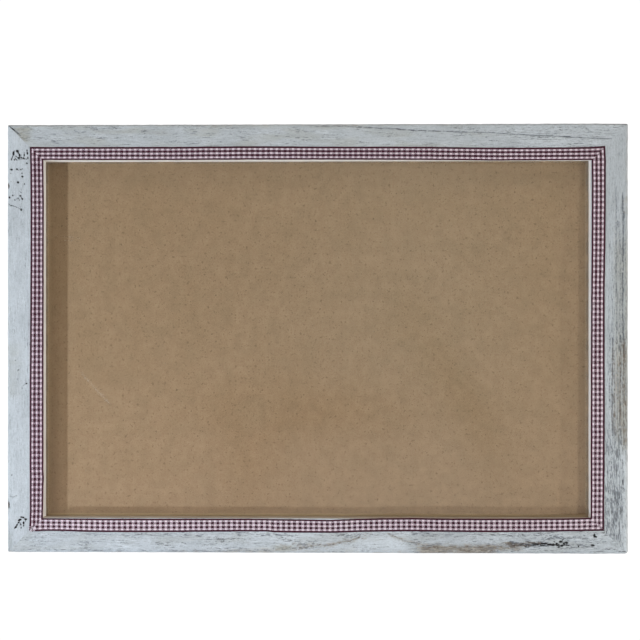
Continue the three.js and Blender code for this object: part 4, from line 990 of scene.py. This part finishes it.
def build_ribbon(side, material, seed):
    spec = RIBBONS[side]
    outer, inner = np.array(spec["outer"]), np.array(spec["inner"])
    n, m = (421 if side in ("top", "bottom") else 291), 13
    t = np.linspace(0, 1, n)[:, None]
    v = np.linspace(0, 1, m)[None, :]
    a = (outer[0, 0] * (1 - t) + outer[-1, 0] * t) * (1 - v) + (inner[0, 0] * (1 - t) + inner[-1, 0] * t) * v
    e0 = polyline(outer, a)
    e1 = polyline(inner, a)
    vv = -0.055 + 1.085 * v  # the dark selvedge stands a little outside the checks
    b = e0 * (1 - vv) + e1 * vv
    b = b + 0.18 * (noise(a / 11.0, v * 0.8 + 0 * a, seed) - 0.5)
    px, py = (a, b) if side in ("top", "bottom") else (b, a)
    x, z = from_picture(px, py, -14.25)
    along = x if side in ("top", "bottom") else z
    # thickness: cloth edges thin a little, the strip puckers where the glue let go
    body = 0.30 * (1 - 0.45 * np.abs(2 * v - 1) ** 6)
    end = np.minimum(t, 1 - t) * (300.0 if side in ("top", "bottom") else 200.0)
    pucker = 0.22 * smooth(fbm(along / 9.0, v * 1.3 + 0 * a, seed + 3, 2), 0.52, 0.82)
    edge_lift = 0.16 * np.abs(2 * v - 1) ** 4 * smooth(noise(along / 6.0, v * 0.7 + 3.0 + 0 * a, seed + 5), 0.5, 0.8)
    fold = 0.16 * np.exp(-((end / 2.2) ** 2))
    top = -14.02 - body - pucker - edge_lift - fold
    low = np.full_like(top, -13.86)
    n_v = n * m
    verts = np.concatenate([np.stack([x, top, z], -1).reshape(-1, 3), np.stack([x, low, z], -1).reshape(-1, 3)])
    q_top = grid_quads(n, m, False)
    q_low = q_top[:, ::-1] + n_v
    i = np.arange(n - 1)
    j = np.arange(m - 1)
    walls = [
        np.stack([i * m, i * m + n_v, (i + 1) * m + n_v, (i + 1) * m], 1)[:, ::-1],
        np.stack([i * m + m - 1, i * m + m - 1 + n_v, (i + 1) * m + m - 1 + n_v, (i + 1) * m + m - 1], 1),
        np.stack([j, j + n_v, j + 1 + n_v, j + 1], 1),
        np.stack([(n - 1) * m + j, (n - 1) * m + j + n_v, (n - 1) * m + j + 1 + n_v, (n - 1) * m + j + 1], 1)[:, ::-1],
    ]
    quads = np.concatenate([q_top, q_low] + walls)
    frayed = None
    if side == "bottom":  # the corner at the lower left has frayed
        more, more_q, frayed = loose_yarns(22, (33.6, 528.4), (2.3, 1.5), 168, 77)
        if (enclosed(more, more_q) > 0) != (enclosed(verts, quads) > 0):
            more_q = more_q[:, ::-1]
        quads = np.concatenate([quads, more_q + len(verts)])
        verts = np.concatenate([verts, more])
    ob, _ = mesh_object("ribbon_%s_gingham" % side, verts, quads, sharp=50)
    checks = (a - spec["first"]) / spec["period"]
    width = 6.85
    soil = np.clip(spec["soil"] + 0.5 * (fbm(along / 30.0, v * 0.6 + 0 * a, seed + 9, 2) - 0.5), 0, 1)
    co = np.stack([checks, -0.055 + 1.085 * v + 0 * a, soil], -1).reshape(-1, 3)
    lie = spec["lie"][0] * (1 - t) + spec["lie"][1] * t + 0 * a
    th = np.stack([along, v * width + 0 * a, lie], -1).reshape(-1, 3)
    co, th = np.concatenate([co, co]), np.concatenate([th, th])
    if frayed is not None:
        co = np.concatenate([co, np.stack([0.5 * frayed, 1 / 6 + frayed / 6, 0 * frayed], -1)])
        th = np.concatenate([th, np.stack([more[:, 0], more[:, 2], 0.3 + 0 * frayed], -1)])
    for name, val in (("check_co", co), ("thread_co", th)):
        at = ob.data.attributes.new(name, "FLOAT_VECTOR", "POINT")
        at.data.foreach_set("vector", val.astype(np.float32).reshape(-1))
    ob.data.materials.append(material)
    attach(ob, "frame")
    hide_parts("ribbon_" + side)
    return ob


# ------------------------------------------------------------------ hardware
def lathe(name, profile, seg, recess=None):
    """A turned piece about +Y from (radius, y) points; recess(x, z, y) may sink the head."""
    pr = np.array(profile, float)
    ang = np.linspace(0, 2 * math.pi, seg, endpoint=False)
    r, y = pr[:, 0][:, None], pr[:, 1][:, None]
    x, z = r * np.cos(ang)[None, :], r * np.sin(ang)[None, :]
    yy = y + np.zeros_like(x)
    if recess:
        yy = recess(x, z, yy)
    verts = np.stack([x, yy, z], -1).reshape(-1, 3)
    n = len(pr)
    return verts, grid_quads(n, seg, True), [list(range(seg)), list(range((n - 1) * seg, n * seg))[::-1]]


def finish_metal(ob, material, body, node):
    ob.data.materials.append(material)
    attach(ob, body)
    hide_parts(node)


def build_screw(name, x, z, seat, turn, material, body, node):
    R, HH = 2.8, 1.7
    prof = [(0.02, -10.0), (0.55, -8.4), (1.22, -6.6), (1.25, -0.02), (2.5, 0.0), (2.72, 0.06), (2.8, 0.2), (2.8, 0.62)]
    for k in range(1, 30):  # domed head, fine enough to take the cross
        q = k / 29.0
        r = R * math.cos(q * math.pi / 2) ** 0.9 if k < 29 else 0.03
        prof.append((max(r, 0.03), 0.62 + (HH - 0.62) * math.sin(q * math.pi / 2) ** 0.85))
    ca, sa = math.cos(turn), math.sin(turn)

    def recess(px, pz, py):
        a, b = px * ca + pz * sa, -px * sa + pz * ca
        rad = np.hypot(a, b)
        arm = np.minimum(np.abs(a), np.abs(b))
        depth = smooth(arm, 0.40, 0.20) * smooth(rad, 1.55, 0.9)
        return np.where(py > 0.62, py - 0.85 * depth, py)

    v, q, caps = lathe(name, prof, 72, recess)
    v = v + np.array([x, seat, z])
    ob, _ = mesh_object(name, v, q, caps, sharp=55)
    finish_metal(ob, material, body, node)


def build_button(name, x, z, inward, material, body, node):
    hub, tip, reach, hole = 4.6, 3.2, 14.0, 1.55
    y0, y1, bev = 0.15, 1.15, 0.28
    N = 120
    tilt = math.asin((hub - tip) / reach)

    def outline(inset):
        h, tp = hub - inset, tip - inset
        a = np.linspace(math.pi / 2 - tilt, 1.5 * math.pi + tilt, N // 2 + 8)
        b = np.linspace(-math.pi / 2 + tilt, math.pi / 2 - tilt, N // 2 - 8)
        return np.concatenate([np.stack([h * np.cos(a), h * np.sin(a)], 1), np.stack([reach + tp * np.cos(b), tp * np.sin(b)], 1)])

    base = outline(0)
    ang = np.unwrap(np.arctan2(base[:, 1], base[:, 0]))

    def eye(grow):
        r = hole + grow
        return np.stack([r * np.cos(ang), r * np.sin(ang)], 1)

    rings = []

    def add(pts2, yv):
        rings.append(np.stack([pts2[:, 0], np.full(len(pts2), yv), pts2[:, 1]], 1))

    steps = [math.radians(d) for d in (0, 30, 60, 90)]
    for a in steps:  # outer edge, rear of the plate
        add(outline(bev * (1 - math.sin(a))), y0 + bev * (1 - math.cos(a)))
    for a in steps:  # outer edge, front of the plate, towards the viewer of the back
        add(outline(bev * (1 - math.cos(a))), y1 - bev * (1 - math.sin(a)))
    o, e = outline(bev), eye(0.12)
    for k in (0.25, 0.5, 0.75):  # a shallow dish pressed round the hub
        w = smooth(np.array([k]), 0.1, 0.9)[0]
        add(o * (1 - k) + e * k, y1 - 0.10 * math.sin(w * math.pi))
    add(e, y1)
    add(eye(0.0), y1 - 0.12)
    add(eye(0.0), y0 + 0.12)
    add(eye(0.12), y0)
    for k in (0.5,):
        add(e * (1 - k) + o * k, y0)
    n = len(rings)
    loc = np.concatenate(rings)
    quads = grid_quads(n, len(base), True)
    last, first = (n - 1) * len(base), 0
    j = np.arange(len(base))
    k = (j + 1) % len(base)
    quads = np.concatenate([quads, np.stack([last + j, first + j, first + k, last + k], 1)])
    dx, dz = inward
    verts = np.stack([x + loc[:, 0] * dx - loc[:, 2] * dz, loc[:, 1], z + loc[:, 0] * dz + loc[:, 2] * dx], 1)
    ob, _ = mesh_object(name, verts, quads, sharp=50)
    finish_metal(ob, material, body, node)


def build_strap(name, x, z, material, body, node):
    """A strip of sheet folded over the ring's bar, both layers ending round."""
    half, th, pivot = 3.5, 0.78, 1.95
    end = -17.0
    path = []
    y_low, y_up = 0.1 + th / 2, 1.7 - th / 2
    for q in np.linspace(0, 1, 40):
        path.append((end + 0.02 + (0 - end) * q, y_low))
    r = 1.85 - th / 2
    for a in np.linspace(-90, 148, 34)[1:]:
        path.append((r * math.cos(math.radians(a)), pivot + r * math.sin(math.radians(a))))
    z0, yy0 = path[-1]
    for q in np.linspace(0, 1, 8)[1:]:
        w = q * q * (3 - 2 * q)
        path.append((z0 + (-4.2 - z0) * q, yy0 + (y_up - yy0) * w))
    for q in np.linspace(0, 1, 32)[1:]:
        path.append((-4.2 + (end + 0.02 + 4.2) * q, y_up))
    path = np.array(path)
    tan = np.gradient(path, axis=0)
    tan /= np.linalg.norm(tan, axis=1)[:, None]
    nor = np.stack([-tan[:, 1], tan[:, 0]], 1)
    on_flat = (path[:, 0] < -3.0)
    d_end = np.clip(path[:, 0] - end, 0.0, half)
    hw = np.where(on_flat & (d_end < half), np.sqrt(np.maximum(half**2 - (half - d_end) ** 2, 0.16)), half)
    sec = []
    rb = 0.16
    for cx, cy, a0 in ((1, -1, -90), (1, 1, 0), (-1, 1, 90), (-1, -1, 180)):
        for a in np.linspace(a0, a0 + 90, 4):
            sec.append((cx, cy, math.cos(math.radians(a)), math.sin(math.radians(a))))
    rows = []
    for (pz, py), nn, h in zip(path, nor, hw):
        ring = []
        for cx, cy, ca, sa in sec:
            a = cx * (h - rb) + rb * ca
            b = cy * (th / 2 - rb) + rb * sa
            ring.append((x + a, py + nn[1] * b, z + pz + nn[0] * b))
        rows.append(ring)
    verts = np.array(rows)
    n, m = verts.shape[:2]
    quads = grid_quads(n, m, True)
    caps = [list(range(m)), list(range((n - 1) * m, n * m))[::-1]]
    ob, _ = mesh_object(name, verts.reshape(-1, 3), quads, caps, sharp=45)
    finish_metal(ob, material, body, node)


def build_ring(name, x, z, material, body, node):
    half, corner, start, wire, pivot, lean = 4.8, 1.0, 3.4, 0.8, 1.95, math.radians(6)
    bar = half - corner
    pts = [(-bar + 2 * bar * q, 0.0) for q in np.linspace(0, 1, 24, endpoint=False)]
    pts += [(bar + corner * math.cos(a), corner + corner * math.sin(a)) for a in np.linspace(-math.pi / 2, 0, 10, endpoint=False)]
    pts += [(half, corner + (start - corner) * q) for q in np.linspace(0, 1, 8, endpoint=False)]
    pts += [(half * math.cos(a), start + half * math.sin(a)) for a in np.linspace(0, math.pi, 60, endpoint=False)]
    pts += [(-half, start + (corner - start) * q) for q in np.linspace(0, 1, 8, endpoint=False)]
    pts += [(-bar + corner * math.cos(a), corner + corner * math.sin(a)) for a in np.linspace(math.pi, 1.5 * math.pi, 10, endpoint=False)]
    c = np.array(pts)
    tan = np.roll(c, -1, 0) - np.roll(c, 1, 0)
    tan /= np.linalg.norm(tan, axis=1)[:, None]
    nrm = np.stack([tan[:, 1], -tan[:, 0]], 1)
    a = np.linspace(0, 2 * math.pi, 24, endpoint=False)
    # in the plane of the ring: (across, along); third axis stands out of that plane
    p2 = c[:, None, :] + wire * np.cos(a)[None, :, None] * nrm[:, None, :]
    out = wire * np.sin(a)[None, :] + np.zeros((len(c), 1))
    rr = p2[..., 1]
    X = x + p2[..., 0]
    Y = pivot + rr * math.sin(lean) + out * math.cos(lean)
    Z = z - rr * math.cos(lean) + out * math.sin(lean)
    verts = np.stack([X, Y, Z], -1).reshape(-1, 3)
    n, m = len(c), len(a)
    quads = grid_quads(n, m, True)
    j = np.arange(m)
    k = (j + 1) % m
    quads = np.concatenate([quads, np.stack([(n - 1) * m + j, j, k, (n - 1) * m + k], 1)])
    ob, _ = mesh_object(name, verts, quads)
    finish_metal(ob, material, body, node)


# ------------------------------------------------------------------ build
wood = wood_material()
cloth = ribbon_material()
zinc = metal_material("zinc_plate", srgb(206, 208, 208), srgb(168, 168, 160), 0.26)
steel = metal_material("spring_steel", srgb(150, 152, 156), srgb(96, 98, 102), 0.34)

for side in RAILS:
    build_rail(side, wood)
for k, side in enumerate(("top", "bottom", "left", "right")):
    build_ribbon(side, cloth, 211 + 17 * k)

BUTTONS = {"top_left": (-85.0, 108.1, (0, -1)), "top_right": (85.0, 108.1, (0, -1)), "bottom_left": (-85.0, -108.1, (0, 1)),
           "bottom_right": (85.0, -108.1, (0, 1)), "left": (-159.1, -16.0, (1, 0)), "right": (159.1, -16.0, (-1, 0))}
for k, (name, (bx, bz, inward)) in enumerate(BUTTONS.items()):
    build_button("turn_button_%s_plate" % name, bx, bz, inward, zinc, "turn_button_" + name, "turn_button_" + name)
    build_screw("button_screw_%s_pan" % name, bx, bz, 1.3, 0.5 + 1.3 * k, zinc, "frame", "button_screw_" + name)
for k, (name, hx) in enumerate((("left", -159.1), ("right", 159.1))):
    build_strap("hanger_strap_%s_fold" % name, hx, 40.0, zinc, "frame", "hanger_strap_" + name)
    build_ring("hanger_ring_%s_wire" % name, hx, 40.0, zinc, "hanger_ring_" + name, "hanger_ring_" + name)
    build_screw("hanger_screw_%s_pan" % name, hx, 27.0, 1.85, 0.9 + 1.7 * k, zinc, "frame", "hanger_screw_" + name)


def dress(node, material, bevel=0.0):
    ob = NODES[node]
    ob.data.materials.clear()
    ob.data.materials.append(material)
    if bevel:
        b = ob.modifiers.new("edge", "BEVEL")
        b.width = bevel * MM
        b.segments = 2
        b.limit_method = "ANGLE"


dress("glass_pane", glass_material(), 0.25)
dress("backing_board", board_material(), 0.35)
for corner in CORNER_R:
    dress("v_nail_" + corner, steel)

# ------------------------------------------------------------------ stage
floor_m = Mat("floor")
lp = floor_m.node("LightPath")
fd = floor_m.node("BsdfDiffuse", {"Color": (0.86, 0.86, 0.85, 1.0)})
fe = floor_m.node("Emission", {"Color": (1.0, 1.0, 1.0, 1.0), "Strength": 1.05})
fmix = floor_m.node("MixShader")
floor_m.put(fmix.inputs[0], lp.outputs["Is Camera Ray"])
floor_m.put(fmix.inputs[1], fd.outputs[0])
floor_m.put(fmix.inputs[2], fe.outputs[0])
floor_m.t.links.new(fmix.outputs[0], floor_m.out.inputs["Surface"])
fm = bpy.data.meshes.new("floor")
zf = CAD_BOX[0][2] - 0.0004
fm.from_pydata([(-3, -3, zf), (3, -3, zf), (3, 3, zf), (-3, 3, zf)], [], [(0, 1, 2, 3)])
floor = bpy.data.objects.new("floor", fm)
floor.data.materials.append(floor_m.m)
floor.visible_shadow = False
floor.visible_glossy = False
bpy.context.scene.collection.objects.link(floor)

world = bpy.data.worlds.new("studio")
bpy.context.scene.world = world
world.use_nodes = True
wt = world.node_tree
wt.nodes.clear()
w_out = wt.nodes.new("ShaderNodeOutputWorld")
w_lp = wt.nodes.new("ShaderNodeLightPath")
w_mix = wt.nodes.new("ShaderNodeMixShader")
w_cam = wt.nodes.new("ShaderNodeBackground")
w_cam.inputs[0].default_value = (1, 1, 1, 1)
w_cam.inputs[1].default_value = 1.05
w_amb = wt.nodes.new("ShaderNodeBackground")
w_amb.inputs[0].default_value = (1.06, 0.982, 0.86, 1)
w_amb.inputs[1].default_value = 0.285
w_room = wt.nodes.new("ShaderNodeBackground")
w_mix2 = wt.nodes.new("ShaderNodeMixShader")
w_tc = wt.nodes.new("ShaderNodeTexCoord")
w_cloud = wt.nodes.new("ShaderNodeTexNoise")
w_cloud.inputs["Scale"].default_value = 5.5
w_cloud.inputs["Detail"].default_value = 1.5
w_ramp = wt.nodes.new("ShaderNodeMapRange")
w_ramp.interpolation_type = "SMOOTHSTEP"
for k, v in (("From Min", 0.40), ("From Max", 0.62), ("To Min", 0.22), ("To Max", 0.62)):
    w_ramp.inputs[k].default_value = v
wt.links.new(w_tc.outputs["Generated"], w_cloud.inputs["Vector"])
wt.links.new(w_cloud.outputs["Fac"], w_ramp.inputs["Value"])
wt.links.new(w_ramp.outputs["Result"], w_room.inputs[1])
w_room.inputs[0].default_value = (1.0, 0.98, 0.94, 1)
# What the pane mirrors straight back: a dim room, a pale wall to the right, a bright warm floor below and a few soft dark shapes.
sky = Mat.__new__(Mat)
sky.t = wt
dx, dy, dz = sky.split(w_tc.outputs["Generated"])
ahead = sky.math("MULTIPLY", dy, -1.0)
safe = sky.math("MAXIMUM", ahead, 0.2)
su = sky.math("MULTIPLY_ADD", sky.math("DIVIDE", dx, safe), 5.222, 0.100)
sv = sky.math("MULTIPLY_ADD", sky.math("DIVIDE", dz, safe), -8.01, -0.114)
su = sky.math("MAXIMUM", sky.math("MINIMUM", su, 1.08), -1.08)
sv = sky.math("MAXIMUM", sky.math("MINIMUM", sv, 1.08), -1.08)
total = (0.06, 0.05, 0.04)
for cu, cv, ru, rv, turn, tint in ((0.4, 0.0, 0.4, 1.6, 0.0, (0.24, 0.32, 0.29)), (0.05, 1.25, 1.3, 0.65, 0.0, (0.65, 0.45, 0.38)),
                                   (-0.27, 0.58, 0.08, 0.22, 0.0, (-0.22, -0.24, -0.22)), (0.0, 0.4, 0.26, 0.1, 0.0, (-0.3, -0.32, -0.3)),
                                   (0.5, 0.27, 0.065, 0.32, 0.38, (-0.42, -0.36, -0.32)), (0.1, 0.6, 0.4, 0.24, 0.0, (-0.12, -0.14, -0.12))):
    bu, bv = sky.math("SUBTRACT", su, cu), sky.math("SUBTRACT", sv, cv)
    bu = sky.math("MULTIPLY_ADD", bv, -turn, bu)
    bu, bv = sky.math("DIVIDE", bu, ru), sky.math("DIVIDE", bv, rv)
    r2 = sky.math("MULTIPLY_ADD", bu, bu, sky.math("MULTIPLY", bv, bv))
    part = sky.node("VectorMath", operation="SCALE")
    part.inputs[0].default_value = tint
    sky.put(part.inputs["Scale"], sky.math("EXPONENT", sky.math("MULTIPLY", r2, -0.5)))
    total = sky.node("VectorMath", {0: total, 1: part.outputs[0]}, operation="ADD").outputs[0]
total = sky.node("VectorMath", {0: total, 1: (0.01, 0.01, 0.01)}, operation="MAXIMUM").outputs[0]
w_front = wt.nodes.new("ShaderNodeBackground")
wt.links.new(total, w_front.inputs[0])
w_mix3 = wt.nodes.new("ShaderNodeMixShader")
wt.links.new(sky.remap(ahead, 0.80, 0.93), w_mix3.inputs[0])
wt.links.new(w_room.outputs[0], w_mix3.inputs[1])
wt.links.new(w_front.outputs[0], w_mix3.inputs[2])
wt.links.new(w_lp.outputs["Is Glossy Ray"], w_mix2.inputs[0])
wt.links.new(w_amb.outputs[0], w_mix2.inputs[1])
wt.links.new(w_mix3.outputs[0], w_mix2.inputs[2])
wt.links.new(w_lp.outputs["Is Camera Ray"], w_mix.inputs[0])
wt.links.new(w_mix2.outputs[0], w_mix.inputs[1])
wt.links.new(w_cam.outputs[0], w_mix.inputs[2])
wt.links.new(w_mix.outputs[0], w_out.inputs["Surface"])


def lamp(name, kind, at, aim, power, colour, mirrored=False, **props):
    li = bpy.data.lights.new(name, kind)
    li.energy = power
    li.color = colour
    for k, v in props.items():
        setattr(li, k, v)
    ob = bpy.data.objects.new(name, li)
    ob.location = at
    ob.rotation_euler = (Vector(at) - Vector(aim)).to_track_quat("Z", "Y").to_euler()
    ob.visible_glossy = mirrored  # the small lamps in front would show as discs in the pane
    bpy.context.scene.collection.objects.link(ob)
    return ob


lamp("key_low_left", "AREA", (-0.677, -0.56, -0.338), (0, 0, 0), 3.45, (0.872, 1.0, 1.18), shape="DISK", size=0.055)
lamp("key_left", "AREA", (-0.677, -0.56, 0.03), (0, 0, 0), 1.36, (0.89, 1.0, 1.09), shape="DISK", size=0.055)
lamp("pool_low_left", "SPOT", (-0.64, -1.0, -0.12), (-0.11, 0, -0.085), 9.8, (0.98, 1.0, 1.0), spot_size=math.radians(12.5), spot_blend=1.0, shadow_soft_size=0.08)
lamp("fill_right", "AREA", (0.30, -0.36, -0.105), (0.05, 0, -0.03), 0.325, (1.03, 1.05, 1.02), shape="DISK", size=0.03)
lamp("soft_top", "AREA", (0.05, -0.62, 0.86), (0, 0, -0.03), 2.1, (1.03, 0.97, 0.874), shape="DISK", size=0.5, mirrored=True)
lamp("rim_right", "AREA", (1.2, -0.14, 0.02), (0, 0, 0), 1.5, (1.0, 1.0, 1.0), shape="DISK", size=0.12, mirrored=True)
lamp("rim_low", "AREA", (0.08, -0.14, -1.2), (0, 0, 0), 0.16, (1.0, 1.0, 1.0), shape="DISK", size=0.12, mirrored=True)
lamp("side_right", "AREA", (1.0, -0.66, -0.11), (0.05, 0, -0.02), 1.77, (0.945, 1.0, 0.965), shape="DISK", size=0.03)
lamp("back_key", "AREA", (0.62, 0.95, 0.62), (0, 0, 0), 9.0, (1.0, 0.985, 0.96), shape="DISK", size=0.45, mirrored=True)
lamp("back_fill", "AREA", (-0.9, 0.62, 0.12), (0, 0, 0), 3.2, (0.96, 0.985, 1.0), shape="DISK", size=0.45, mirrored=True)

cam = bpy.data.cameras.new("camera")
cam.sensor_width = 36.0
cam.lens = CAM_F * 36.0 / 640.0
cam.clip_start = 0.01
cam_ob = bpy.data.objects.new("camera", cam)
cam_ob.location = tuple(CAM_AT)
cam_ob.rotation_euler = (math.pi / 2 + CAM_TILT, 0.0, CAM_TURN)
bpy.context.scene.collection.objects.link(cam_ob)
bpy.context.scene.camera = cam_ob
bpy.context.scene.view_settings.view_transform = "Standard"
bpy.context.scene.view_settings.look = "None"
